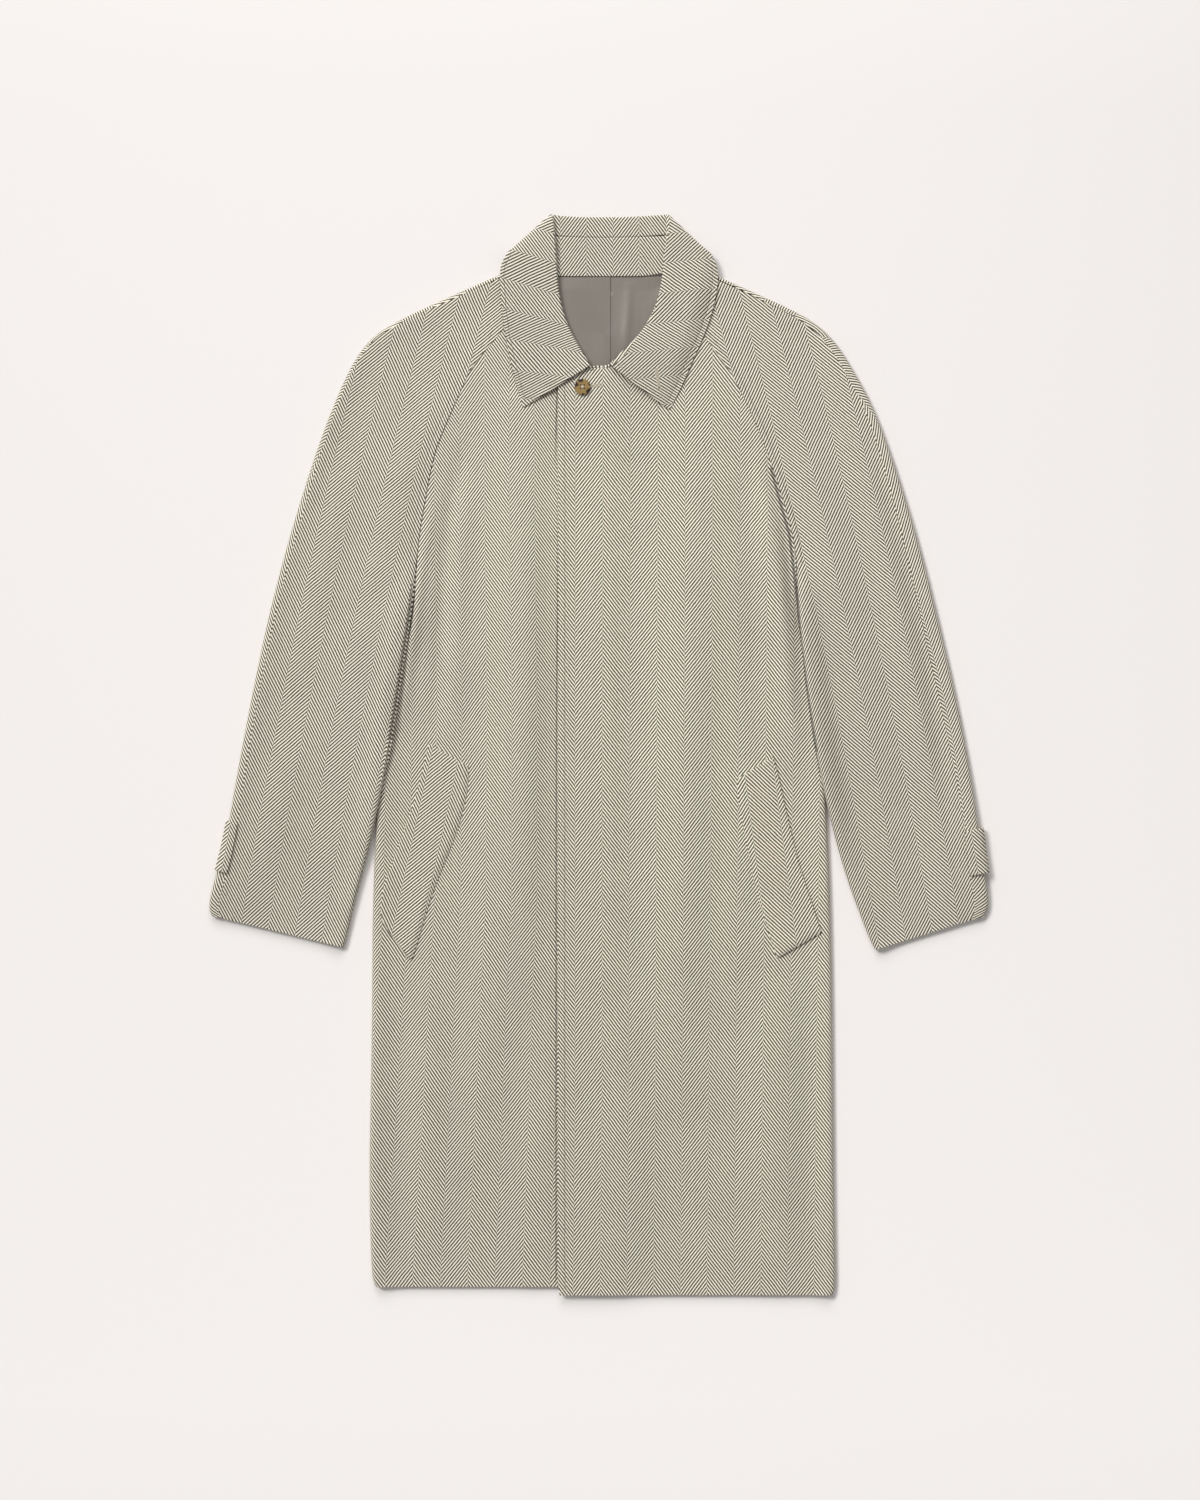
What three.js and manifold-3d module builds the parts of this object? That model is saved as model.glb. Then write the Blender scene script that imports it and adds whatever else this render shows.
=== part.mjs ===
// A balmacaan coat laid flat on its back, buttoned at the neck. Millimetres, +Z up, +Y towards the
// collar, +X to the viewer's right, so "left" is the viewer's left. Each cut piece is one wall of cloth.
// In the tables "up" is the height above the lowest point of the hem and "x" is measured from the
// middle of the laid coat.
import * as THREE from 'three';
import { mergeVertices } from 'three/addons/utils/BufferGeometryUtils.js';
import Module from 'manifold-3d';

// A table is its column names and a row of values for each section
const table = (names, ...rows) => rows
  .map((row) => Object.fromEntries(names.map((name, k) => [name, row[k]])));

// Cloth
const WALL = 2.5; // tweed with its lining
const LINING_WALL = 1;
const SEAM = 0.3; // between the edges of two pieces
const HIDDEN_SEAM = 2.5; // under the collar leaves, where the seam turns
const AIR = 0.7; // between two layers that lie on each other
const LAYER = WALL + AIR;
const SLEEVE_LAYER = WALL + 1.2; // between the lower and upper side of a sleeve

// Folded edges
const ROLL_HEIGHT = 9; // outside height of a folded edge
const ROLL_REACH = 4; // how far the middle of the cloth swings out at a folded edge
const ROLL_RISE = (ROLL_HEIGHT - WALL) / 2;
const ROLL_SWELL = 22; // how far in from the edge the fold still lifts the upper layer

// Closure
const OVER_EDGE = -44; // front edge of the front that lies on top
const UNDER_EDGE = 16; // front edge of the front below it
const STEP_FROM = UNDER_EDGE + 2;
const STEP_RUN = 14; // how far the top front takes to come down beside the lower one
const FRONT_TOP = 1001; // where the top front ends between the collar leaves
const TOP_STEP = 10; // how much lower the front below it ends there
const HEM_STEP = 9; // how much higher its hem lies
const CORNER = 4; // how much a hem corner is rounded
const CORNER_RISE = 6;
const UNDERARM = 778; // where the side seams, raglan seams and sleeve seams meet
const FOLD_FADE = { from: 742, over: 46 }; // where the folded side edge opens out below the underarm

// Neck
const NECK_RISE = 1.4; // room that the fronts leave over the lining
const NECK_FROM = 910;
const NECK_TO = 965;

// Side seams, from the hem to the underarm. Between 540 and 720 the sleeves lie on them.
const SIDE = table(
  ['up', 'left', 'right'],
  [0, -244, 256],
  [50, -246.5, 255],
  [100, -247.7, 254],
  [157, -247.7, 253.3],
  [240, -246, 252.4],
  [320, -245, 251.6],
  [427, -244, 249.5],
  [513, -240.5, 246],
  [540, -239.5, 244.5],
  [562, -238, 243.5],
  [605, -234, 241],
  [650, -226, 235],
  [690, -217, 226],
  [718, -204, 215.5],
  [745, -201, 214],
  [778, -197.5, 213.5],
);

// Raglan seams of the fronts, from the underarm to the neck
const FRONT_SEAM = table(
  ['up', 'left', 'right'],
  [778, -197.5, 213.5],
  [800, -196, 213],
  [828, -193, 208],
  [855, -188, 200],
  [885, -183, 190.5],
  [915, -176, 180],
  [945, -163, 168],
  [975, -150, 154],
  [FRONT_TOP, -137.5, 139],
  [1006, -134.5, 135.5],
  [1036, -108, 113],
  [1051, -98, 103],
);

// Raglan seams of the back, which run higher, to the back neck
const BACK_SEAM = table(
  ['up', 'left', 'right'],
  [778, -197.5, 213.5],
  [800, -196, 213],
  [828, -192, 208],
  [858, -186, 199],
  [893, -178, 187],
  [930, -165, 172],
  [965, -148, 154],
  [1000, -131.5, 135],
  [1010, -126, 129.5],
  [1036, -108, 112],
  [1068, -86, 90],
  [1100, -64, 68],
);

// Front necklines, from the front edge up to the raglan seam
const NECKLINE = table(
  ['up', 'left', 'right'],
  [FRONT_TOP, -16, 14],
  [1010, -25, 30],
  [1020, -38, 47],
  [1036, -56, 66],
  [1051, -71, 80],
);

// Sections of the sleeves, from the neck to the cuff. "inner" is the raglan seam or, past the underarm,
// the inner folded edge; "outer" is the outer folded edge. "lift" is how far the inner edge is raised by
// the body under it, "tab" how far the outer edge is raised by the cuff tab, "seam" the distance of the
// top seam from the outer edge, and "roll" says how far the inner edge is a fold.
const LEFT_SLEEVE = table(
  ['innerX', 'innerUp', 'outerX', 'outerUp', 'high', 'roll', 'lift', 'tab', 'seam'],
  [-98, 1051, -94, 1107, 7.3, 0, 0, 0, 4],
  [-108, 1036, -128, 1093, 7.3, 0, 0, 0, 4],
  [-134.5, 1006, -153, 1082, 7.6, 0, 0, 0, 4],
  [-137.5, FRONT_TOP, -166, 1076, 7.6, 0, 0, 0, 4],
  [-150, 975, -193, 1064, 8, 0, 0, 0, 4],
  [-163, 945, -220, 1051, 8.4, 0, 0, 0, 4],
  [-176, 915, -246, 1035, 8.8, 0, 0, 0, 4],
  [-183, 885, -263, 1012, 9, 0, 0, 0, 4],
  [-188, 855, -275, 988, 9, 0, 0, 0, 4],
  [-193, 828, -287, 960, 9, 0, 0, 0, 5],
  [-196, 800, -299, 929, 9, 0.1, 0, 0, 6],
  [-199, 776, -314, 885, 9, 0.6, 3, 0, 7],
  [-203, 742, -333, 824, 9, 1, 8, 0, 7],
  [-207, 714, -347.5, 772, 9, 1, 9.4, 0, 7],
  [-214, 668, -361.5, 714, 9, 1, 9.4, 0, 7],
  [-222.5, 612, -373.5, 656, 9, 1, 9.4, 0, 7],
  [-231.5, 560, -384.5, 599, 9, 1, 9.4, 0, 8],
  [-241.5, 511, -393.5, 549, 9, 1, 6, 2, 9],
  [-250, 474, -400.5, 507, 9, 1, 1, 3.4, 10],
  [-259, 443, -407.5, 471, 9, 1, 0, 3.4, 11],
  [-267, 412, -419, 438, 8.6, 1, 0, 3.2, 11],
  [-272.5, 384, -422.5, 417, 8, 1, 0, 1.5, 11],
  [-276, 375.5, -418, 410, 7.6, 1, 0, 0, 10],
);
const RIGHT_SLEEVE = table(
  ['innerX', 'innerUp', 'outerX', 'outerUp', 'high', 'roll', 'lift', 'tab', 'seam'],
  [103, 1051, 116, 1105, 7.3, 0, 0, 0, 4],
  [113, 1036, 151, 1090, 7.3, 0, 0, 0, 4],
  [135.5, 1006, 177, 1078.5, 7.6, 0, 0, 0, 5],
  [139, FRONT_TOP, 190, 1073, 7.6, 0, 0, 0, 5],
  [154, 975, 217, 1060, 8, 0, 0, 0, 6],
  [168, 945, 239, 1047, 8.4, 0, 0, 0, 8],
  [180, 915, 257, 1028, 8.8, 0, 0, 0, 9],
  [190.5, 885, 271, 1005, 9, 0, 0, 0, 9],
  [200, 855, 285.5, 980, 9, 0, 0, 0, 10],
  [208, 828, 296.5, 958, 9, 0, 0, 0, 11],
  [213, 800, 308, 929, 9, 0.1, 0, 0, 12],
  [214.5, 772, 323.5, 885, 9, 0.6, 3, 0, 14],
  [215.5, 742, 342.5, 824, 9, 1, 8, 0, 16],
  [217.5, 714, 356.5, 772, 9, 1, 9.4, 0, 17.5],
  [223, 668, 370.5, 714, 9, 1, 9.4, 0, 18],
  [230.5, 612, 384, 656, 9, 1, 9.4, 0, 18],
  [239, 560, 395.5, 599, 9, 1, 8, 0, 17],
  [250.5, 511, 404, 549, 9, 1, 3, 1.5, 16],
  [260.5, 474, 410, 507, 9, 1, 0, 3.4, 16],
  [270, 443, 414.5, 471, 9, 1, 0, 3.4, 17],
  [281, 414, 419.5, 440, 8.6, 1, 0, 3.2, 16],
  [293, 382, 422.3, 420, 8, 1, 0, 1.5, 16],
  [298.5, 373, 417, 410, 7.6, 1, 0, 0, 15],
);
const SLEEVE_RUN = 24; // how far a sleeve takes to come down beside the body
const SLEEVE_REST = 13; // width that stays on the body
const JOIN_RUN = 34; // width over which a sleeve leaves the level of the front it is sewn to
const TAB_RUN = 22; // how far a sleeve takes to come down beside the cuff tab

// Soft folds that stand on the fronts: centre line, height and half width. Each rises over the first
// part of its length and dies away over the last.
const FOLD_START = 0.25;
const FOLD_END = 0.35;
const FRONT_FOLDS = table(
  ['x0', 'up0', 'x1', 'up1', 'height', 'half'],
  [-158, 890, -160, 600, 3.4, 13],
  [-100, 930, -98, 330, 1.6, 24],
  [188, 880, 203, 690, 4.2, 11],
  [150, 850, 158, 560, 1.6, 18],
  [92, 900, 88, 240, 1.5, 22],
  [-200, 420, -206, 60, 1.6, 20],
  [205, 430, 214, 70, 1.8, 20],
);

// Collar: one row for each line across it, from the left front corner round the back to the right one.
// "roll" is where it folds over, "edge" its cut edge and "neck" where it is sewn to the coat. "turn" is 0
// where the leaf faces up, 180 behind the neck and 90 where it folds round the side of the neck. "band"
// is the part of the fall inside the fold, "core" the height of the middle between leaf and stand, and
// "drop" how far the leaf comes down to its cut edge.
const COLLAR = table(
  ['rollX', 'rollUp', 'edgeX', 'edgeUp', 'neckX', 'neckUp', 'turn', 'band', 'core', 'drop'],
  [-9, 1003.5, -81.5, 958, -13, 1006.5, 0, 2, 12.8, 4.6],
  [-14, 1012, -86, 972, -28, 1011, 0, 6, 11.4, 3],
  [-23, 1027, -94.5, 1005, -50, 1028, 0, 9, 10.6, 2.4],
  [-35.5, 1050, -101, 1036, -72, 1049, 0, 13, 10.5, 2],
  [-42.5, 1078, -105, 1069, -84, 1075, 0, 16, 10.5, 1.6],
  [-44.3, 1097, -107, 1099, -88, 1097, 0, 18, 10.5, 1.2],
  [-45.5, 1124, -106, 1112, -90, 1110, 0, 20, 10.5, 0.6],
  [-47.5, 1150, -101, 1121, -90, 1114, 0, 22, 10.5, 0],
  [-49, 1163, -98, 1123.5, -88, 1116, 45, 22, 9.2, 0],
  [-49.5, 1166.5, -97, 1124, -86, 1117, 90, 22, 6.3, 0],
  [-47, 1166.5, -94, 1122.5, -78, 1112, 135, 22, 3.6, 0],
  [-40, 1165.5, -76, 1113, -52, 1100.3, 180, 22, 2.75, 0],
  [-20, 1164.5, -40, 1107.5, -26, 1100.3, 180, 22, 2.75, 0],
  [3, 1164.5, 2, 1106, 2, 1100.3, 180, 22, 2.75, 0],
  [26, 1164.5, 44, 1107, 30, 1100.3, 180, 22, 2.75, 0],
  [50, 1165.5, 84, 1112, 58, 1100.3, 180, 22, 2.75, 0],
  [65, 1166.5, 110, 1121.5, 92, 1111, 135, 22, 3.6, 0],
  [72.5, 1166.5, 117.5, 1123.5, 104, 1116, 90, 22, 6.3, 0],
  [73, 1162, 120, 1122.5, 108, 1115, 45, 22, 9.2, 0],
  [72, 1148, 124, 1118, 111, 1112, 0, 22, 10.5, 0],
  [70.5, 1124, 128.5, 1108, 109, 1105, 0, 20, 10.5, 0.6],
  [68, 1097, 128.5, 1092, 106, 1091, 0, 18, 10.5, 1.2],
  [63, 1071, 124, 1067, 98, 1070, 0, 16, 10.5, 1.6],
  [50, 1045, 114, 1037, 84, 1047, 0, 13, 10.8, 2],
  [34, 1026, 102, 1012, 60, 1029, 0, 9, 11.4, 2.4],
  [19, 1013.5, 91, 984, 36, 1014, 0, 6, 12.2, 3],
  [11, 1004.5, 76, 955.5, 16, 1006.8, 0, 2, 12.8, 4.6],
);

// Welt pockets: rows from the top corner to the lower one, with the side of the opening and the sewn side
const LEFT_WELT = table(
  ['openX', 'openUp', 'sewnX', 'sewnUp'],
  [-183.5, 596, -140, 570],
  [-191, 563, -141.5, 541],
  [-200, 530, -150, 508],
  [-211.5, 499, -161, 479],
  [-222, 470, -173, 451.5],
  [-232, 443, -183, 424.5],
  [-237, 420, -192.5, 391.5],
  [-233, 400, -202, 361],
);
const RIGHT_WELT = table(
  ['openX', 'openUp', 'sewnX', 'sewnUp'],
  [188, 582, 147, 556],
  [195, 556, 146, 545],
  [201, 527, 149, 520],
  [207.5, 500, 155.5, 492],
  [213.5, 473, 162, 466],
  [222.5, 445, 170, 437],
  [231.5, 418, 180.5, 400],
  [240.5, 391, 192, 363],
);
const WELT_WALL = 2.2;
const WELT_GAP = 0.6; // between a welt and its front
const WELT_COLUMNS = [0, 0.25, 0.5, 0.75, 1];

// Cuff tabs: a strap from the top seam round the outer edge to the back of the sleeve
const TAB_WALL = 2.2;
const TAB_LENGTH_UNDER = 24;
const TAB_EASE = 3; // how much further the sleeve stays raised beside a tab
const TAB_GAP = 0.5; // between a tab and its sleeve
const LEFT_TAB = { from: 17.88, to: 19.4, loose: 0.8 }; // "loose" is how far it stands off the edge
const RIGHT_TAB = { from: 18.08, to: 19.5, loose: 2.4 };

// Neck button
const BUTTON = {
  x: -17.8, up: 980.3, radius: 9.4, thick: 3.4, rim: 1.7, slope: 0.8, dish: 0.9, round: 1.4,
  hole: 0.9, holeAway: 1.8, sides: 24, holeSides: 8,
};

// Back neck lining with its centre pleat
const LINING = {
  left: -62, right: 74, top: 1100, foot: 975, rows: [0, 0.25, 0.5, 0.75, 1],
  pleat: 12.4, pleatFrom: -30, pleatRise: 0.5, pleatRun: 1.5,
};

const smooth = (t) => THREE.MathUtils.smoothstep(t, 0, 1);
const { lerp } = THREE.MathUtils;

// Value of one column of a table at a height, along a smooth curve through the rows
function column(rows, name, up) {
  const last = rows.length - 1;
  let k = 0;
  while (k < last - 1 && up > rows[k + 1].up) k += 1;
  const slope = (i) => {
    const a = rows[Math.max(i - 1, 0)];
    const b = rows[Math.min(i + 1, last)];
    return (b[name] - a[name]) / (b.up - a.up);
  };
  const from = rows[k];
  const to = rows[k + 1];
  const span = to.up - from.up;
  const t = THREE.MathUtils.clamp((up - from.up) / span, 0, 1);
  const h = t * t * (3 - 2 * t);
  const bend = t * (1 - t) * ((1 - t) * slope(k) - t * slope(k + 1)) * span;
  return lerp(from[name], to[name], h) + bend;
}

// One row between two rows of a table, by a fractional row number
function between(rows, place) {
  const k = Math.min(Math.floor(place), rows.length - 2);
  const t = place - k;
  const names = Object.keys(rows[k]);
  return Object.fromEntries(names.map((name) => [name, lerp(rows[k][name], rows[k + 1][name], t)]));
}

// Closed wall of a given thickness about a grid of points, some of which hold their own direction through
// the cloth
function clothWall(grid, thick) {
  const rows = grid.length;
  const cols = grid[0].length;
  const at = (i, j) => grid[THREE.MathUtils.clamp(i, 0, rows - 1)][THREE.MathUtils.clamp(j, 0, cols - 1)].p;
  const points = [];
  const skin = (offset) => {
    for (let i = 0; i < rows; i += 1) {
      for (let j = 0; j < cols; j += 1) {
        const along = at(i + 1, j).clone().sub(at(i - 1, j));
        const across = at(i, j + 1).clone().sub(at(i, j - 1));
        const found = across.cross(along).normalize();
        const normal = grid[i][j].n ?? found;
        points.push(at(i, j).clone().addScaledVector(normal, normal.dot(found) < 0 ? -offset : offset));
      }
    }
  };
  skin(thick / 2);
  skin(-thick / 2);
  const far = rows * cols;
  const index = [];
  const quad = (a, b, c, d) => index.push(a, b, c, a, c, d);
  for (let i = 0; i < rows - 1; i += 1) {
    for (let j = 0; j < cols - 1; j += 1) {
      const a = i * cols + j;
      quad(a, a + 1, a + cols + 1, a + cols);
      quad(far + a, far + a + cols, far + a + cols + 1, far + a + 1);
    }
  }
  for (let j = 0; j < cols - 1; j += 1) {
    const top = (rows - 1) * cols + j;
    quad(j, far + j, far + j + 1, j + 1);
    quad(top, top + 1, far + top + 1, far + top);
  }
  for (let i = 0; i < rows - 1; i += 1) {
    const a = i * cols;
    const b = a + cols - 1;
    quad(a, a + cols, far + a + cols, far + a);
    quad(b, far + b, far + b + cols, b + cols);
  }
  return closedGeometry(points, index);
}

// Geometry with its faces turned outwards
function closedGeometry(points, index) {
  let volume = 0;
  for (let i = 0; i < index.length; i += 3) {
    const [a, b, c] = [points[index[i]], points[index[i + 1]], points[index[i + 2]]];
    volume += a.dot(b.clone().cross(c));
  }
  if (volume < 0) {
    for (let i = 0; i < index.length; i += 3) [index[i + 1], index[i + 2]] = [index[i + 2], index[i + 1]];
  }
  const geometry = new THREE.BufferGeometry();
  const numbers = points.flatMap((p) => [p.x, p.y, p.z]);
  geometry.setAttribute('position', new THREE.Float32BufferAttribute(numbers, 3));
  geometry.setIndex(index);
  geometry.computeVertexNormals();
  return geometry;
}

// Height that the soft folds add at a place on the fronts
function foldHeight(x, up) {
  let height = 0;
  for (const fold of FRONT_FOLDS) {
    const t = (up - fold.up0) / (fold.up1 - fold.up0);
    const away = (x - lerp(fold.x0, fold.x1, t)) / fold.half;
    const ends = smooth(t / FOLD_START) * smooth((1 - t) / FOLD_END);
    height += fold.height * ends * Math.exp(-away * away);
  }
  return height;
}

const neckRise = (up) => NECK_RISE * smooth((up - NECK_FROM) / (NECK_TO - NECK_FROM));

// Underside of the front layer, without the lift of the folded side edge
const frontUnder = (x, up) => LAYER + neckRise(up) + foldHeight(x, up);
const overlapRise = (x) => LAYER * (1 - smooth((x - STEP_FROM) / STEP_RUN));

// Middle of the cloth at a folded edge: "away" is the distance from the outline
const ROLL_DEPTH = ROLL_REACH + WALL / 2;
const ROLL_ANGLES = [0, 30, 60, 90];
const rollAway = (angle) => ROLL_DEPTH - ROLL_REACH * Math.cos(THREE.MathUtils.degToRad(angle));
const rollRise = (angle, rise) => rise * Math.sin(THREE.MathUtils.degToRad(angle));

// How much of the body's side edge is a fold: all of it up to the underarm, none of it above
const sideFold = (up) => 1 - smooth((up - FOLD_FADE.from) / FOLD_FADE.over);

// Columns from a side edge inwards: distance from the outline, and the angle round the fold. The one in
// the swell is left out of the back, which is flat there.
const SWELL_COLUMN = 17;
const EDGE_COLUMNS = [
  ...ROLL_ANGLES.map((angle) => ({ away: rollAway(angle), angle })),
  { away: 10, angle: 90 },
  { away: SWELL_COLUMN, angle: 90 },
  { away: ROLL_DEPTH + ROLL_SWELL, angle: 90 },
];

// Distance of a column from the outline, less half a wall where the edge is a flat seam
const edgeDistance = (col, fold) => lerp(col.away - (col.angle === 90 ? 0 : WALL / 2), col.away, fold);

// Middle of the upper cloth layer near a folded edge, over a layer that lies at a given level
function upperEdge(columnOf, fold, under, level) {
  const high = under + ROLL_HEIGHT - WALL / 2;
  const swell = 1 - smooth((columnOf.away - ROLL_DEPTH) / ROLL_SWELL);
  const flat = level + WALL / 2;
  if (columnOf.angle === 90) return lerp(flat, Math.max(high, flat), fold * swell);
  const middle = under + ROLL_HEIGHT / 2;
  return lerp(flat, middle + SEAM / 2 + rollRise(columnOf.angle, ROLL_RISE - SEAM / 2), fold);
}

// Direction through the cloth at a piece's edge: straight up on a flat seam, "outward" at a full fold
function edgeNormal(outward, fold) {
  return new THREE.Vector3(0, 0, 1 - fold).addScaledVector(outward, fold).normalize();
}

const sideAt = (up, side) => column(up > UNDERARM ? FRONT_SEAM : SIDE, side, up);

// Rows of the fronts, which share the raglan seam's heights with the sleeves
const FRONT_ROWS = [
  50, 100, 157, 205, 255, 305, 355, 405, 455, 490, 513, 540, 562, 605, 650, 690, 718, 745,
  ...FRONT_SEAM.map((row) => row.up),
];

// Free columns of a front, and the share of a narrow row that its edge columns may take
const FREE_COLUMNS = [0.25, 0.5, 0.75];
const EDGE_SHARE = 0.7;

// A front: "side" names its columns in the tables, "end" is where its front edge stops below the collar
// and "closure" the places of its columns near the front edge
function frontPanel({ side, hem, edge, end, closure, riseOf }) {
  const outward = side === 'left' ? -1 : 1;
  const ups = [hem, hem + CORNER_RISE, ...FRONT_ROWS];
  const grid = ups.map((up, row) => {
    const fold = sideFold(up);
    const corner = row === 0 ? CORNER : 0;
    const outline = sideAt(up, side) - outward * (corner + (1 - fold) * SEAM / 2);
    const front = (up > end ? column(NECKLINE, side, up) : edge) + outward * corner / 2;
    const fit = Math.min(1, EDGE_SHARE * Math.abs(outline - front) / (ROLL_DEPTH + ROLL_SWELL));
    const points = EDGE_COLUMNS.map((col) => {
      const x = outline - outward * fit * edgeDistance(col, fold);
      return new THREE.Vector3(x, up, upperEdge(col, fold, 0, frontUnder(x, up) + riseOf(x)));
    });
    const start = points.at(-1).x;
    const squeeze = (start - front) / (start - edge);
    const near = closure.map((aim) => front + (aim - edge) * squeeze);
    const free = FREE_COLUMNS.map((t) => lerp(start, near[0], t));
    for (const x of [...free, ...near]) {
      points.push(new THREE.Vector3(x, up, frontUnder(x, up) + riseOf(x) + WALL / 2));
    }
    const n = edgeNormal(new THREE.Vector3(outward, 0, 0), fold);
    return points.map((p, j) => (j === 0 ? { p, n } : { p }));
  });
  return clothWall(grid, WALL);
}

const frontLeft = () => frontPanel({
  side: 'left',
  hem: HEM_STEP,
  edge: UNDER_EDGE,
  end: FRONT_TOP - TOP_STEP,
  closure: [OVER_EDGE, lerp(OVER_EDGE, UNDER_EDGE, 0.5), UNDER_EDGE],
  riseOf: () => 0,
});
const frontRight = () => frontPanel({
  side: 'right',
  hem: 0,
  edge: OVER_EDGE,
  end: FRONT_TOP,
  closure: [STEP_FROM + STEP_RUN + 2, STEP_FROM, lerp(OVER_EDGE, STEP_FROM, 0.5), OVER_EDGE],
  riseOf: overlapRise,
});

// The back lies on the floor and curls up at the side seams to meet the fronts
const BACK_ROWS = [
  18, 24, 60, 110, 160, 210, 260, 310, 360, 410, 460, 490, 513, 540, 562, 605, 650, 690, 718, 745,
  ...BACK_SEAM.map((row) => row.up),
];

const BACK_COLUMNS = [0.2, 0.4, 0.6, 0.8];

function backPanel() {
  const edgeColumns = EDGE_COLUMNS.filter((col) => col.away !== SWELL_COLUMN);
  const grid = BACK_ROWS.map((up, row) => {
    const fold = sideFold(up);
    const half = (side, outward) => edgeColumns.map((col) => {
      const outline = column(up > UNDERARM ? BACK_SEAM : SIDE, side, up)
        - outward * ((row === 0 ? CORNER : 0) + (1 - fold) * SEAM / 2);
      const x = outline - outward * edgeDistance(col, fold);
      const low = ROLL_HEIGHT / 2 - SEAM / 2 - rollRise(col.angle, ROLL_RISE - SEAM / 2);
      return new THREE.Vector3(x, up, lerp(WALL / 2, low, fold));
    });
    const left = half('left', -1);
    const right = half('right', 1).reverse();
    const from = left.at(-1).x;
    const to = right[0].x;
    const middle = BACK_COLUMNS.map((t) => new THREE.Vector3(lerp(from, to, t), up, WALL / 2));
    const points = [...left, ...middle, ...right].map((p) => ({ p }));
    points[0].n = edgeNormal(new THREE.Vector3(1, 0, 0), fold);
    points.at(-1).n = edgeNormal(new THREE.Vector3(-1, 0, 0), fold);
    return points;
  });
  return clothWall(grid, WALL);
}

// A sleeve's section: distances run from the inner edge to the outer one
function sleeveSection(row, innerX, innerUp) {
  const inner = new THREE.Vector3(innerX, innerUp, 0);
  const across = new THREE.Vector3(row.outerX - innerX, row.outerUp - innerUp, 0);
  const width = across.length();
  across.normalize();
  const under = (d) => row.lift * (1 - smooth((d - SLEEVE_REST) / SLEEVE_RUN))
    + row.tab * smooth((d - width + ROLL_DEPTH + TAB_LENGTH_UNDER + TAB_EASE) / TAB_RUN + 1);
  const point = (d, z) => new THREE.Vector3(inner.x + across.x * d, inner.y + across.y * d, z);
  return { width, across, under, point, rise: (row.high - WALL) / 2 };
}

// Angles round the outer fold, from the upper side to the floor
const OUTER_ANGLES = [90, 60, 30, 0, -30, -60, -90];

function outerTurn(row, section, angle, moved = 0, loose = 0) {
  const a = THREE.MathUtils.degToRad(angle);
  const reach = ROLL_REACH + moved + loose;
  const rise = section.rise + moved;
  const under = section.under(section.width);
  const d = section.width - ROLL_DEPTH + reach * Math.cos(a);
  return section.point(d, under + row.high / 2 + rise * Math.sin(a));
}

// Middle of the upper layer of a sleeve at a distance from its outer edge
function sleeveTop(row, section, away) {
  if (away < ROLL_DEPTH) {
    const cos = THREE.MathUtils.clamp((ROLL_DEPTH - away) / ROLL_REACH, -1, 1);
    return outerTurn(row, section, THREE.MathUtils.radToDeg(Math.acos(cos)));
  }
  const d = section.width - away;
  const level = section.under(d) + SLEEVE_LAYER + WALL / 2;
  const high = section.under(section.width) + row.high - WALL / 2;
  return section.point(d, Math.max(level, lerp(level, high, 1 - smooth((away - ROLL_DEPTH) / ROLL_SWELL))));
}

// Direction through the cloth at the top seam of a sleeve
function seamNormal(row, section) {
  const step = 0.4;
  const run = sleeveTop(row, section, row.seam - step).sub(sleeveTop(row, section, row.seam + step));
  const along = run.dot(section.across);
  return section.across.clone().multiplyScalar(-run.z).setZ(along).normalize();
}

// Columns between the two folds of a sleeve, and the steps from there to the top seam
const middleColumns = (section, from) => [1 / 3, 2 / 3, 1]
  .map((t) => lerp(from, section.width - ROLL_DEPTH - ROLL_SWELL, t));
const OUTER_COLUMNS = [0.45, 0.8, 1];

// The back piece goes round the fold to its middle, and then up to the top seam
const LOWER_ANGLES = [-90, -60, -30, 0];
const UPPER_COLUMNS = [0.1, 0.25, 0.6, 1];

function sleeveFront(rows) {
  const outward = Math.sign(rows[0].innerX);
  const grid = rows.map((row) => {
    const moved = (1 - row.roll) * SEAM / 2 * outward;
    const section = sleeveSection(row, row.innerX + moved, row.innerUp);
    const inner = EDGE_COLUMNS.map((col) => {
      const d = edgeDistance(col, row.roll);
      const place = section.point(d, 0);
      const own = section.under(d) + SLEEVE_LAYER;
      const joined = frontUnder(place.x, place.y);
      const level = lerp(lerp(joined, own, smooth(d / JOIN_RUN)), own, row.roll);
      place.z = upperEdge(col, row.roll, section.under(d), level);
      return place;
    });
    const from = EDGE_COLUMNS.at(-1).away;
    const far = row.seam + SEAM;
    const middle = middleColumns(section, from).map((d) => sleeveTop(row, section, section.width - d));
    const outer = OUTER_COLUMNS.map((t) => sleeveTop(row, section, lerp(ROLL_DEPTH + ROLL_SWELL, far, t)));
    const points = [...inner, ...middle, ...outer].map((p) => ({ p }));
    points[0].n = edgeNormal(section.across.clone().negate(), row.roll);
    points.at(-1).n = seamNormal(row, section);
    return points;
  });
  return clothWall(grid, WALL);
}

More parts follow.
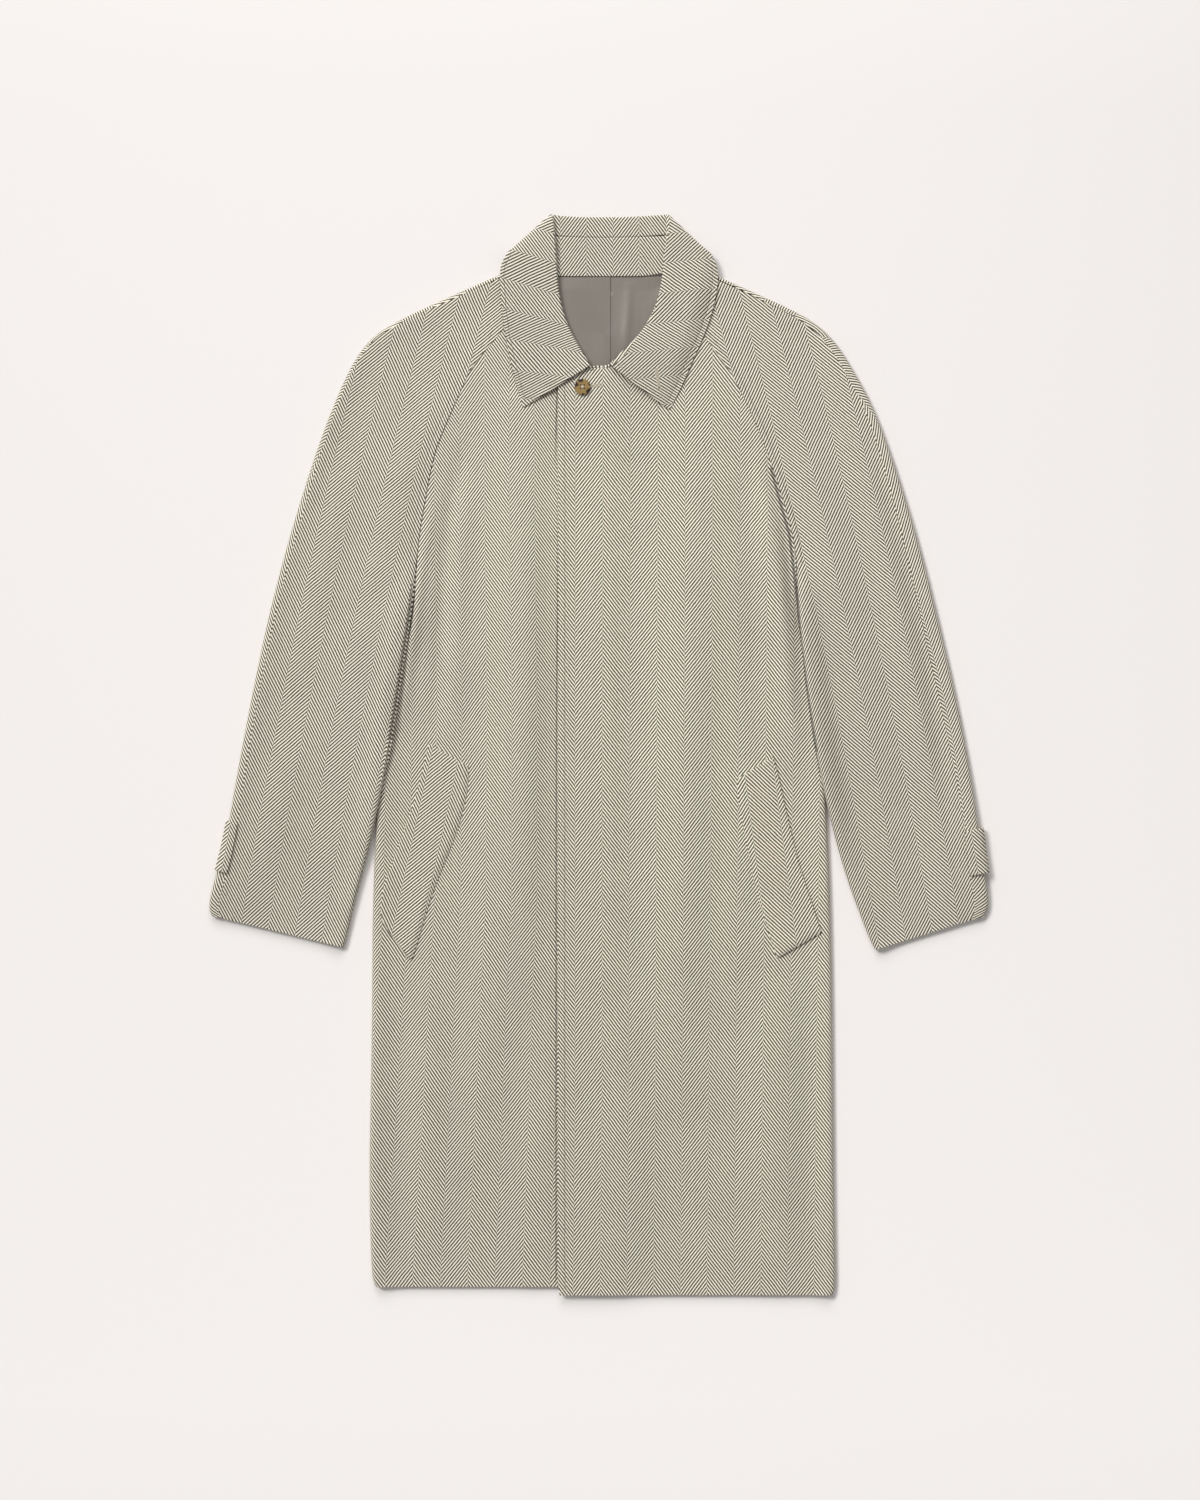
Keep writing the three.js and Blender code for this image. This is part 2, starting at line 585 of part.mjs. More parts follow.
function sleeveBack(rows, backSeam) {
  const outward = Math.sign(rows[0].innerX);
  const seam = [...BACK_SEAM].reverse();
  const grid = rows.map((row, k) => {
    const onSeam = k < seam.length;
    const blend = onSeam ? 1 - row.roll : 0;
    const innerX = lerp(row.innerX, onSeam ? seam[k][backSeam] + outward * SEAM / 2 : 0, blend);
    const innerUp = lerp(row.innerUp, onSeam ? seam[k].up : 0, blend);
    const section = sleeveSection(row, innerX, innerUp);
    const inner = EDGE_COLUMNS.map((col) => {
      const d = edgeDistance(col, row.roll);
      const low = ROLL_HEIGHT / 2 - SEAM / 2 - rollRise(col.angle, ROLL_RISE - SEAM / 2);
      return section.point(d, section.under(d) + lerp(WALL / 2, low, row.roll * row.roll));
    });
    const from = EDGE_COLUMNS.at(-1).away;
    const to = section.width - ROLL_DEPTH;
    const outer = OUTER_COLUMNS.slice(0, -1).map((t) => lerp(to - ROLL_SWELL, to, t));
    const middle = [...middleColumns(section, from), ...outer]
      .map((d) => section.point(d, section.under(d) + WALL / 2));
    const end = row.seam - SEAM;
    const turn = LOWER_ANGLES.map((angle) => outerTurn(row, section, angle));
    const rest = UPPER_COLUMNS.map((t) => sleeveTop(row, section, lerp(WALL / 2, end, t)));
    const points = [...inner, ...middle, ...turn, ...rest].map((p) => ({ p }));
    points[0].n = edgeNormal(section.across, row.roll);
    points.at(-1).n = seamNormal(row, section);
    return points;
  });
  return clothWall(grid, WALL);
}

// Cuff tab, laid round the outer fold of its sleeve
const TAB_STATIONS = [0, 0.5, 1];
const TAB_TOP_COLUMNS = [0, 0.35, 0.7];

function cuffTab(rows, place) {
  const stations = TAB_STATIONS.map((t) => lerp(place.from, place.to, t));
  const moved = (WALL + TAB_WALL) / 2 + TAB_GAP;
  const grid = stations.map((station) => {
    const row = between(rows, station);
    const section = sleeveSection(row, row.innerX, row.innerUp);
    const points = [];
    for (const t of TAB_TOP_COLUMNS) {
      const p = sleeveTop(row, section, lerp(Math.max(row.seam, ROLL_DEPTH + TAB_EASE), ROLL_DEPTH, t));
      points.push(p.setZ(p.z + moved));
    }
    for (const angle of OUTER_ANGLES) points.push(outerTurn(row, section, angle, moved, place.loose));
    for (const d of [TAB_LENGTH_UNDER / 2, TAB_LENGTH_UNDER]) {
      points.push(section.point(section.width - ROLL_DEPTH - d, TAB_WALL / 2));
    }
    return points.map((p) => ({ p: p.setZ(Math.max(p.z, TAB_WALL / 2)) }));
  });
  return clothWall(grid, TAB_WALL);
}

// Welt, laid on the front that carries it
function welt(rows, riseOf) {
  const side = Math.sign(rows[0].openX) < 0 ? 'left' : 'right';
  const outward = side === 'left' ? -1 : 1;
  const onFront = (x, up) => {
    const away = outward * (sideAt(up, side) - x);
    const level = frontUnder(x, up) + riseOf(x);
    return upperEdge({ away, angle: 90 }, 1, 0, level) + WALL / 2;
  };
  const grid = rows.map((row) => WELT_COLUMNS.map((t) => {
    const x = lerp(row.openX, row.sewnX, t);
    const up = lerp(row.openUp, row.sewnUp, t);
    return { p: new THREE.Vector3(x, up, onFront(x, up) + WELT_GAP + WELT_WALL / 2) };
  }));
  return clothWall(grid, WELT_WALL);
}

// Places across the collar at one row: "moved" is which side of the middle, with the leaf outside
function collarRow(row) {
  const a = THREE.MathUtils.degToRad(row.turn);
  const roll = new THREE.Vector3(row.rollX, row.rollUp, row.core);
  const edge = new THREE.Vector3(row.edgeX, row.edgeUp, row.core);
  const neck = new THREE.Vector3(row.neckX, row.neckUp, row.core);
  const toEdge = edge.clone().sub(roll);
  const depth = toEdge.length();
  toEdge.normalize();
  const side = row.rollX < COLLAR_MIDDLE ? 1 : -1;
  const outward = new THREE.Vector3(toEdge.y * side, -toEdge.x * side, 0);
  const normal = new THREE.Vector3(0, 0, Math.cos(a)).addScaledVector(outward, Math.sin(a));
  const toNeck = neck.clone().sub(roll);
  const neckDepth = toNeck.length();
  toNeck.normalize();
  return { roll, toEdge, depth, normal, toNeck, neckDepth };
}

// Half the distance between the leaf and the stand, which lie on each other
const COLLAR_GAP = 0.5;
const COLLAR_HALF = (WALL + COLLAR_GAP) / 2;
const COLLAR_MIDDLE = 12; // x of the centre back

// Places on the inside band, angles round the fold, and places down the leaf
const BAND_PLACES = [1, 0.3];
const FOLD_ANGLES = [-50, 0, 50];
const LEAF_PLACES = [0.12, 0.35, 0.6, 0.82, 1];
const DROP_START = { past: 0.05, most: 0.8 }; // where the leaf starts to come down, past the neck seam

function collarFall() {
  const grid = COLLAR.map((row) => {
    const { roll, toEdge, depth, normal, toNeck, neckDepth } = collarRow(row);
    const points = BAND_PLACES.map((t) => roll.clone()
      .addScaledVector(toNeck, row.band * t)
      .addScaledVector(normal, -COLLAR_HALF));
    const inside = points.length;
    for (const angle of FOLD_ANGLES) {
      const a = THREE.MathUtils.degToRad(angle);
      points.push(roll.clone()
        .addScaledVector(toEdge, -COLLAR_HALF * Math.cos(a) + COLLAR_HALF + WALL / 2)
        .addScaledVector(normal, COLLAR_HALF * Math.sin(a)));
    }
    const free = Math.min(DROP_START.most, neckDepth / depth + DROP_START.past);
    for (const t of LEAF_PLACES) {
      const p = roll.clone().addScaledVector(toEdge, depth * t).addScaledVector(normal, COLLAR_HALF);
      p.z -= row.drop * smooth((t - free) / (1 - free));
      points.push(p);
    }
    return points.map((p, j) => (j < inside ? { p, n: normal } : { p }));
  });
  return clothWall(grid, WALL);
}

const STAND_PLACES = [0, 0.5, 1];

function collarStand() {
  const grid = COLLAR.slice(1, -1).map((row) => {
    const { roll, normal, toNeck, neckDepth } = collarRow(row);
    const start = row.band + (row.turn === 180 ? SEAM : HIDDEN_SEAM);
    return STAND_PLACES.map((t) => ({
      p: roll.clone()
        .addScaledVector(toNeck, lerp(start, neckDepth, t))
        .addScaledVector(normal, -COLLAR_HALF),
      n: normal,
    }));
  });
  return clothWall(grid, WALL);
}

function backLining() {
  const { left, right, foot, top, pleat, pleatFrom, pleatRise, pleatRun } = LINING;
  const ups = LINING.rows.map((t) => lerp(foot, top, t));
  const across = [left, pleatFrom, lerp(pleatFrom, pleat, 0.6), pleat - pleatRun, pleat, pleat + pleatRun,
    lerp(pleat, right, 0.3), lerp(pleat, right, 0.6), right];
  const grid = ups.map((up) => across.map((x) => {
    const lifted = x > pleat ? 0 : smooth((x - pleatFrom) / (pleat - pleatFrom));
    return { p: new THREE.Vector3(x, up, WALL + SEAM + LINING_WALL / 2 + pleatRise * lifted) };
  }));
  return clothWall(grid, LINING_WALL);
}

// Round button with a raised rim, a dished middle and four holes
async function neckButton() {
  const wasm = await Module();
  wasm.setup();
  const b = BUTTON;
  const middle = b.thick - b.dish;
  const edge = [-90, -45, 0, 45, 90].map((angle) => {
    const a = THREE.MathUtils.degToRad(angle);
    return [b.radius - b.round * (1 - Math.cos(a)), (b.thick * (1 + Math.sin(a))) / 2];
  });
  const dish = [[b.radius - b.rim, b.thick], [b.radius - b.rim - b.slope, middle], [0, middle]];
  const profile = [[0, 0], ...edge, ...dish].map(([x, y]) => new THREE.Vector2(x, y));
  const solid = (geometry) => {
    geometry.deleteAttribute('normal');
    geometry.deleteAttribute('uv');
    const merged = mergeVertices(geometry, 1e-4);
    return new wasm.Manifold(new wasm.Mesh({
      numProp: 3,
      vertProperties: new Float32Array(merged.attributes.position.array),
      triVerts: new Uint32Array(merged.index.array),
    }));
  };
  let body = solid(new THREE.LatheGeometry(profile, b.sides).rotateX(Math.PI / 2));
  for (const [sx, sy] of [[-1, -1], [-1, 1], [1, -1], [1, 1]]) {
    const hole = new THREE.CylinderGeometry(b.hole, b.hole, 3 * b.thick, b.holeSides).rotateX(Math.PI / 2)
      .translate(sx * b.holeAway, sy * b.holeAway, 0);
    body = body.subtract(solid(hole));
  }
  const mesh = body.getMesh();
  const geometry = new THREE.BufferGeometry();
  geometry.setAttribute('position', new THREE.Float32BufferAttribute(mesh.vertProperties, 3));
  geometry.setIndex(Array.from(mesh.triVerts));
  geometry.computeVertexNormals();
  const top = frontUnder(b.x, b.up) + overlapRise(b.x) + WALL;
  return geometry.translate(b.x, b.up, top + SEAM);
}

const tweed = new THREE.MeshStandardMaterial({ color: 0xb5ad9c, roughness: 0.95, metalness: 0 });
const satin = new THREE.MeshStandardMaterial({ color: 0x8c8279, roughness: 0.55, metalness: 0 });
const horn = new THREE.MeshStandardMaterial({ color: 0x9a7a48, roughness: 0.3, metalness: 0 });

const coat = new THREE.Group();
const add = (name, geometry, material = tweed) => {
  const mesh = new THREE.Mesh(geometry, material);
  mesh.name = name;
  coat.add(mesh);
};

add('back', backPanel());
add('front_left', frontLeft());
add('front_right', frontRight());
add('sleeve_front_left', sleeveFront(LEFT_SLEEVE));
add('sleeve_back_left', sleeveBack(LEFT_SLEEVE, 'left'));
add('sleeve_front_right', sleeveFront(RIGHT_SLEEVE));
add('sleeve_back_right', sleeveBack(RIGHT_SLEEVE, 'right'));
add('collar_fall', collarFall());
add('collar_stand', collarStand());
add('welt_left', welt(LEFT_WELT, () => 0));
add('welt_right', welt(RIGHT_WELT, overlapRise));
add('cuff_tab_left', cuffTab(LEFT_SLEEVE, LEFT_TAB));
add('cuff_tab_right', cuffTab(RIGHT_SLEEVE, RIGHT_TAB));
add('back_lining', backLining(), satin);
add('neck_button', await neckButton(), horn);

// The origin is under the middle of the laid coat
const box = new THREE.Box3().setFromObject(coat);
const middle = box.getCenter(new THREE.Vector3());
coat.position.set(-middle.x, -middle.y, -box.min.z);

export default coat;
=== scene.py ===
# %% [markdown]
# # A balmacaan coat, laid flat
#
# This lesson dresses a plain model of a coat: a tweed coat with raglan sleeves that lies on its back,
# buttoned at the neck. The frame holds every cut piece as a simple wall of cloth at its real size. Here
# each of them gets a fine shell with folds, seams, stitches and a woven herringbone. The frame is loaded
# first. The dressed coat may not outgrow it.

# %% Load the frame
import math

import bpy
import numpy as np
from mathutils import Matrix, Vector


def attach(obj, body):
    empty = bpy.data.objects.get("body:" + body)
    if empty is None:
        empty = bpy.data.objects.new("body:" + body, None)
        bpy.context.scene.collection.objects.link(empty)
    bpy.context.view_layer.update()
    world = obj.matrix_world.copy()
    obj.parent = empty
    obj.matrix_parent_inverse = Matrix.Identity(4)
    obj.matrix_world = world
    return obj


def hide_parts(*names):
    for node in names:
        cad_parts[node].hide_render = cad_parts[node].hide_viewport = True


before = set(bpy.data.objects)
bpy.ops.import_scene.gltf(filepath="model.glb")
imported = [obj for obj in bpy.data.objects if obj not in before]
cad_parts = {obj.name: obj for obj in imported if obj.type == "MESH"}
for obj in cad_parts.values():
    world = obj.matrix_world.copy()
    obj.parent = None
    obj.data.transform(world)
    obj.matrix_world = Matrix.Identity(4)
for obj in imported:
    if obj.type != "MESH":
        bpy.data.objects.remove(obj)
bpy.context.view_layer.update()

MM = 0.001
print("nodes:", ", ".join(sorted(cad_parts)))

# %% [markdown]
# ## Camera, floor and light
#
# The coat was photographed from straight above with a long lens, so that the cuffs and the hem are seen as
# flat as the middle. A long lens far away does the same here. The view is 1200 by 1500 pixels and 1.62 m
# high, and the coat lies a little to the left of its middle.

# %% Camera
VIEW_HEIGHT = 1.62
VIEW_MIDDLE = Vector((1.26 * MM, 5.3 * MM, 6 * MM))
LENS = 110
SENSOR = 36

camera_data = bpy.data.cameras.new("camera")
camera_data.lens = LENS
camera_data.sensor_width = SENSOR
camera_data.clip_end = 50
camera = bpy.data.objects.new("camera", camera_data)
camera.location = VIEW_MIDDLE + Vector((0, 0, VIEW_HEIGHT * LENS / SENSOR))
bpy.context.scene.collection.objects.link(camera)
bpy.context.scene.camera = camera
bpy.context.scene.view_settings.view_transform = "Standard"
print("camera", round(camera.location.z, 2), "m above the floor")

# %% [markdown]
# The floor is a plain pale sheet. A soft sun from the upper left leaves thin shadows on the right of the
# coat and below it, and an even sky fills the rest. A sun is as bright at the hem as at the collar, so a
# big lamp beyond the collar lets the cloth darken towards the hem. The floor gets paler that way, because
# it looks equally bright all over in the photograph.

# %% Floor and lights
FLOOR_TOP = (0.79, 0.757, 0.737, 1)
FLOOR_BOTTOM = (0.98, 0.94, 0.915, 1)
FLOOR_SPAN = 0.7
SKY = 0.35
SUN = 1.78
SUN_SOFTNESS = math.radians(19)
SUN_FROM = Vector((-0.66, 0.56, 0.95))
TOP_LAMP = {"power": 42, "size": 1.8, "place": Vector((-0.3, 2.4, 1.9))}


def shader_of(material, **values):
    """The shader of a material, after its inputs are set. An underscore stands for a space."""
    shader = material.node_tree.nodes["Principled BSDF"]
    for name, value in values.items():
        shader.inputs[name.replace("_", " ")].default_value = value
    return shader


def plain_material(name, colour, roughness):
    material = bpy.data.materials.new(name)
    material.use_nodes = True
    shader_of(material, Base_Color=colour, Roughness=roughness)
    return material


def nothing_selected():
    if bpy.context.mode != "OBJECT":
        bpy.ops.object.mode_set(mode="OBJECT")
    bpy.ops.object.select_all(action="DESELECT")


def only_selected(piece):
    nothing_selected()
    piece.select_set(True)
    bpy.context.view_layer.objects.active = piece


nothing_selected()
bpy.ops.mesh.primitive_plane_add(size=14, location=(0, 0, -0.2 * MM))
floor = bpy.context.object
floor.name = "floor"
bpy.ops.object.transform_apply(location=True)
floor_material = plain_material("floor", FLOOR_TOP, 0.9)
floor.data.materials.append(floor_material)

world = bpy.data.worlds.new("sky")
world.use_nodes = True
background = world.node_tree.nodes["Background"]
background.inputs["Color"].default_value = (1, 1, 1, 1)
background.inputs["Strength"].default_value = SKY
bpy.context.scene.world = world


def add_light(name, kind, place, energy):
    data = bpy.data.lights.new(name, kind)
    data.energy = energy
    light = bpy.data.objects.new(name, data)
    light.location = place
    light.rotation_euler = (-place).to_track_quat("-Z", "Y").to_euler()
    bpy.context.scene.collection.objects.link(light)
    return data


add_light("sun", "SUN", SUN_FROM, SUN).angle = SUN_SOFTNESS
top_lamp = add_light("top_lamp", "AREA", TOP_LAMP["place"], TOP_LAMP["power"])
top_lamp.size = TOP_LAMP["size"]

# %% [markdown]
# ## The weave as a node group
#
# Herringbone is a twill whose diagonal turns back at every band. Its ribs are a little steeper than 50
# degrees and 4.65 mm apart along the warp, and each band is about 29 mm wide. Light ribs end on dark ones
# where the twill turns. The group works this out from two numbers that every piece carries in its UV map:
# U counts bands across the warp, V runs along the warp in metres. So the pattern turns with the cloth.
# It gives a colour and a height, and the material does the shading.

# %% Helpers for node trees
def new_group(name, inputs, outputs):
    group = bpy.data.node_groups.new(name, "ShaderNodeTree")
    for title, kind, value in inputs:
        socket = group.interface.new_socket(title, in_out="INPUT", socket_type=kind)
        if value is not None:
            socket.default_value = value
    for title, kind in outputs:
        group.interface.new_socket(title, in_out="OUTPUT", socket_type=kind)
    return group


class Tree:
    """Adds nodes to a node tree: an argument is a number or the output that feeds the socket."""

    def __init__(self, tree):
        self.tree = tree

    def node(self, kind, *feeds, **settings):
        made = self.tree.nodes.new(kind)
        for name, value in settings.items():
            setattr(made, name, value)
        for socket, feed in zip(made.inputs, feeds):
            self.feed(socket, feed)
        return made

    def feed(self, socket, value):
        if isinstance(value, bpy.types.NodeSocket):
            self.tree.links.new(value, socket)
        elif value is not None:
            socket.default_value = value

    def math(self, operation, *feeds):
        return self.node("ShaderNodeMath", *feeds, operation=operation).outputs[0]

    def noise(self, vector, scale, detail=2.0):
        made = self.node("ShaderNodeTexNoise", vector)
        made.inputs["Scale"].default_value = scale
        made.inputs["Detail"].default_value = detail
        return made.outputs["Fac"]

    def mix(self, factor, a, b, blend="MIX"):
        made = self.node("ShaderNodeMix", data_type="RGBA", blend_type=blend)
        self.feed(made.inputs["Factor"], factor)
        self.feed(made.inputs[6], a)
        self.feed(made.inputs[7], b)
        return made.outputs[2]

    def span(self, value, low, high, out_low=0.0, out_high=1.0, kind="LINEAR"):
        made = self.node("ShaderNodeMapRange", value, low, high, out_low, out_high)
        made.interpolation_type = kind
        return made.outputs[0]

    def grey(self, value):
        return self.node("ShaderNodeCombineColor", value, value, value).outputs[0]

    def carried(self, name):
        """A number that every vertex of a piece carries."""
        return self.node("ShaderNodeAttribute", attribute_name=name).outputs["Fac"]

    def relief(self, shader, height, strength, distance):
        """Lets a height bump the surface of a shader, with the distance in millimetres."""
        bump = self.node("ShaderNodeBump")
        for name, value in (("Strength", strength), ("Distance", distance * MM), ("Height", height)):
            self.feed(bump.inputs[name], value)
        self.feed(shader.inputs["Normal"], bump.outputs[0])

    def group(self, group, **feeds):
        made = self.tree.nodes.new("ShaderNodeGroup")
        made.node_tree = group
        for name, value in feeds.items():
            self.feed(made.inputs[name.replace("_", " ")], value)
        return made.outputs


t = Tree(floor_material.node_tree)
place = t.node("ShaderNodeTexCoord").outputs["Object"]
down = t.span(t.node("ShaderNodeSeparateXYZ", place).outputs["Y"], FLOOR_SPAN, -FLOOR_SPAN)
t.feed(shader_of(floor_material).inputs["Base Color"], t.mix(down, FLOOR_TOP, FLOOR_BOTTOM))

# %% Herringbone group
BAND = 29.0 * MM
PITCH = 4.65 * MM
RISE = 38.3 * MM

herringbone = new_group(
    "herringbone",
    [("UV", "NodeSocketVector", None), ("Light yarn", "NodeSocketColor", (0.7, 0.66, 0.56, 1)),
     ("Dark yarn", "NodeSocketColor", (0.2, 0.18, 0.14, 1))],
    [("Color", "NodeSocketColor"), ("Height", "NodeSocketFloat")],
)
t = Tree(herringbone)
g_in = t.node("NodeGroupInput").outputs
g_out = t.node("NodeGroupOutput").inputs
parts = t.node("ShaderNodeSeparateXYZ", g_in["UV"]).outputs
across_mm = t.math("MULTIPLY", parts["X"], BAND / MM)
along_mm = t.math("MULTIPLY", parts["Y"], 1 / MM)
cloth_mm = t.node("ShaderNodeCombineXYZ", across_mm, along_mm, 0.0).outputs[0]
# slow wander of the ribs, and a faster one of each yarn
wander = t.math("MULTIPLY_ADD", t.noise(cloth_mm, 0.045, 3.0), 2.0, -1.0)
quiver = t.math("MULTIPLY_ADD", t.noise(cloth_mm, 0.34, 2.0), 0.9, -0.45)
pair = t.math("MULTIPLY", t.math("FRACT", t.math("MULTIPLY", parts["X"], 0.5)), 2.0)
turned = t.math("GREATER_THAN", pair, 1.0)
zigzag = t.math("ABSOLUTE", t.math("SUBTRACT", pair, 1.0))
lifted = t.math("MULTIPLY_ADD", zigzag, RISE / MM, along_mm)
moved = t.math("ADD", lifted, t.math("ADD", wander, quiver))
phase = t.math("MULTIPLY_ADD", turned, 0.5, t.math("DIVIDE", moved, PITCH / MM))
wave = t.math("COSINE", t.math("MULTIPLY", phase, 2 * math.pi))
rib = t.span(wave, -0.5, 0.5, kind="SMOOTHSTEP")
# the yarn is spun from mixed wool, so every float has its own shade
fleck = t.noise(cloth_mm, 0.75, 4.0)
soft = t.noise(cloth_mm, 0.02, 3.0)
amount = t.math("ADD", rib, t.math("MULTIPLY_ADD", fleck, 0.55, -0.275))
clean = t.span(amount, 0.0, 1.0, 0.0, 1.0)
colour = t.mix(clean, g_in["Dark yarn"], g_in["Light yarn"])
# the slow noise is the cloth's own tone; the turned bands are painted 2.5 % darker, as painted shade for ribs
# that lean away from the light
tone_and_band_shade = t.math("MULTIPLY_ADD", turned, -0.025, t.span(soft, 0.3, 0.7, 0.985, 1.025))
t.feed(g_out["Color"], t.mix(1.0, colour, t.grey(tone_and_band_shade), "MULTIPLY"))
t.feed(g_out["Height"], t.math("ADD", t.math("MULTIPLY", rib, 0.8), t.math("MULTIPLY", fleck, 0.5)))
print("herringbone:", len(herringbone.nodes), "nodes")

# %% [markdown]
# Every sewn edge of the coat is stitched about 8 mm in. The turned cloth inside makes that strip stand a
# little proud, and the thread draws a fine groove. Each piece carries its distance from such an edge as an
# attribute, and its distance from a seam, a pleat or a narrow gap as another. This group turns them into
# a height and a soft dark line of painted shade in the groove and along the line.

# %% Stitched edge group
STITCH_IN = 7.9
GROOVE = 0.6
EDGE_SHADE = 0.04
edge_group = new_group(
    "stitched_edge",
    [("Distance", "NodeSocketFloat", 0.05), ("Line", "NodeSocketFloat", 0.05),
     ("Line shade", "NodeSocketFloat", 0.04)],
    [("Height", "NodeSocketFloat"), ("Shade", "NodeSocketFloat")],
)
t = Tree(edge_group)
g_in = t.node("NodeGroupInput").outputs
g_out = t.node("NodeGroupOutput").inputs
from_edge = t.math("MULTIPLY", g_in["Distance"], 1 / MM)
proud = t.span(from_edge, STITCH_IN - 1.4, STITCH_IN + 0.4, 1.0, 0.0, "SMOOTHSTEP")
from_thread = t.math("ABSOLUTE", t.math("SUBTRACT", from_edge, STITCH_IN))
from_line = t.math("ABSOLUTE", t.math("MULTIPLY", g_in["Line"], 1 / MM))
groove = t.span(from_thread, 0.0, 1.1, 1.0, 0.0, "SMOOTHSTEP")
line_groove = t.span(from_line, 0.0, 1.1, 1.0, 0.0, "SMOOTHSTEP")
t.feed(g_out["Height"], t.math("MULTIPLY_ADD", t.math("MAXIMUM", groove, line_groove), -GROOVE, proud))
# the groove and the line are painted darker, as painted shade
edge_shade = t.math("MULTIPLY_ADD", groove, -EDGE_SHADE, 1.0)
line_shade = t.math("SUBTRACT", 1.0, t.math("MULTIPLY", line_groove, g_in["Line shade"]))
t.feed(g_out["Shade"], t.math("MULTIPLY", edge_shade, line_shade))
print("stitched edge:", len(edge_group.nodes), "nodes")

# %% [markdown]
# ## Materials
#
# The tweed is matt with a short nap, which Sheen gives as a soft pale bloom where the cloth turns away.
# The rib height is a small bump, because a rib stands only a third of a millimetre high. Some pieces have a
# darker line of painted shade, for a gap between two layers of cloth that no light gets into. The sleeves
# and the collar are painted a touch darker than the body, as painted shade for the dimmer light on them.

# %% Tweed
LIGHT_YARN = (0.93, 0.87, 0.725, 1)
DARK_YARN = (0.055, 0.047, 0.032, 1)
RIB_HEIGHT = 0.32
EDGE_HEIGHT = 0.9
GAP_SHADE = 0.62
SLEEVE_PAINTED_SHADE = 0.965
COLLAR_PAINTED_SHADE = 0.91


def tweed_material(name, shade=1.0, line_shade=0.04):
    """Tweed with painted shade: darker with a lower 'shade', and its line darker with a higher 'line_shade'.
    """
    light, dark = [(*(shade * value for value in yarn[:3]), 1) for yarn in (LIGHT_YARN, DARK_YARN)]
    material = plain_material(name, light, 0.92)
    shader = shader_of(material, Specular_IOR_Level=0.25, Sheen_Weight=0.12, Sheen_Roughness=0.55)
    tree = Tree(material.node_tree)
    uv = tree.node("ShaderNodeUVMap", uv_map="cloth").outputs[0]
    weave = tree.group(herringbone, UV=uv, Light_yarn=light, Dark_yarn=dark)
    edge = tree.group(edge_group, Distance=tree.carried("edge"), Line=tree.carried("line"),
                      Line_shade=line_shade)
    colour = tree.mix(1.0, weave["Color"], tree.grey(edge["Shade"]), "MULTIPLY")
    tree.feed(shader.inputs["Base Color"], colour)
    proud = tree.math("MULTIPLY", edge["Height"], EDGE_HEIGHT)
    tree.relief(shader, tree.math("MULTIPLY_ADD", weave["Height"], RIB_HEIGHT, proud), 0.75, 1.0)
    return material


tweed = tweed_material("tweed")
# gap lines of painted shade, and copies painted darker as shade for the sleeves and the collar
gap_tweed = tweed_material("tweed_with_a_gap", line_shade=GAP_SHADE)
sleeve_tweed = tweed_material("tweed_of_the_sleeves", SLEEVE_PAINTED_SHADE)
sleeve_gap_tweed = tweed_material("tweed_of_the_sleeves_with_a_gap", SLEEVE_PAINTED_SHADE, GAP_SHADE)
collar_tweed = tweed_material("tweed_of_the_collar", COLLAR_PAINTED_SHADE)

# %% [markdown]
# ## Shells for the cut pieces
#
# A cut piece of tweed is thin and limp, and its form is the form of the plain wall in the frame. It could be
# draped by simulation, but then the coat would not lie as it does. So each shell starts as a copy of the
# wall's outer skin, merged and turned back into four-sided faces. It is unrolled onto the table while it is
# coarse, subdivided until folds are smooth, and given its thickness again at the end.

# %% Outer skin of a node
FLAT_TURN = math.radians(52)
LEVEL = 0.985
SEAM_REACH = 0.14
SLEEVE_SEAM_REACH = 0.27


def merged_copy(name, node):
    """A copy of a node as one closed mesh of four-sided faces, in edit mode with nothing selected."""
    piece = bpy.data.objects.new(name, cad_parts[node].data.copy())
    piece.data.materials.clear()
    bpy.context.scene.collection.objects.link(piece)
    only_selected(piece)
    bpy.ops.object.mode_set(mode="EDIT")
    bpy.ops.mesh.select_all(action="SELECT")
    bpy.ops.mesh.remove_doubles(threshold=0.01 * MM)
    bpy.ops.mesh.tris_convert_to_quads(face_threshold=math.pi, shape_threshold=math.pi)
    bpy.ops.mesh.select_all(action="DESELECT")
    return piece


def unrolled(piece, up):
    """Writes the UV map 'cloth': the laid part keeps its place on the table, and the rest is unrolled."""
    for layer in list(piece.data.uv_layers):
        piece.data.uv_layers.remove(layer)
    layer = piece.data.uv_layers.new(name="cloth")
    for face in piece.data.polygons:
        laid = face.normal.z * up > LEVEL
        for index, vertex in zip(face.loop_indices, face.vertices):
            place = piece.data.vertices[vertex].co
            layer.uv[index].vector = (place.x * up, place.y)
            layer.pin[index].value = laid
    bpy.ops.object.mode_set(mode="EDIT")
    bpy.ops.mesh.select_all(action="SELECT")
    bpy.ops.uv.unwrap(method="ANGLE_BASED", margin=0.0)
    bpy.ops.object.mode_set(mode="OBJECT")


def apply_modifier(piece, kind, **settings):
    modifier = piece.modifiers.new(kind.lower(), kind)
    for name, value in settings.items():
        setattr(modifier, name, value)
    only_selected(piece)
    bpy.ops.object.modifier_apply(modifier=modifier.name)


def smoothed(piece, levels):
    apply_modifier(piece, "SUBSURF", levels=levels, render_levels=levels, boundary_smooth="PRESERVE_CORNERS",
                   uv_smooth="PRESERVE_CORNERS")
    return piece


def open_edges(piece):
    """The edges along the open rim of a sheet, each with its two vertices and its only face."""
    faces = {}
    for face in piece.data.polygons:
        for key in face.edge_keys:
            faces.setdefault(key, []).append(face)
    return [(key, found[0]) for key, found in faces.items() if len(found) == 1]


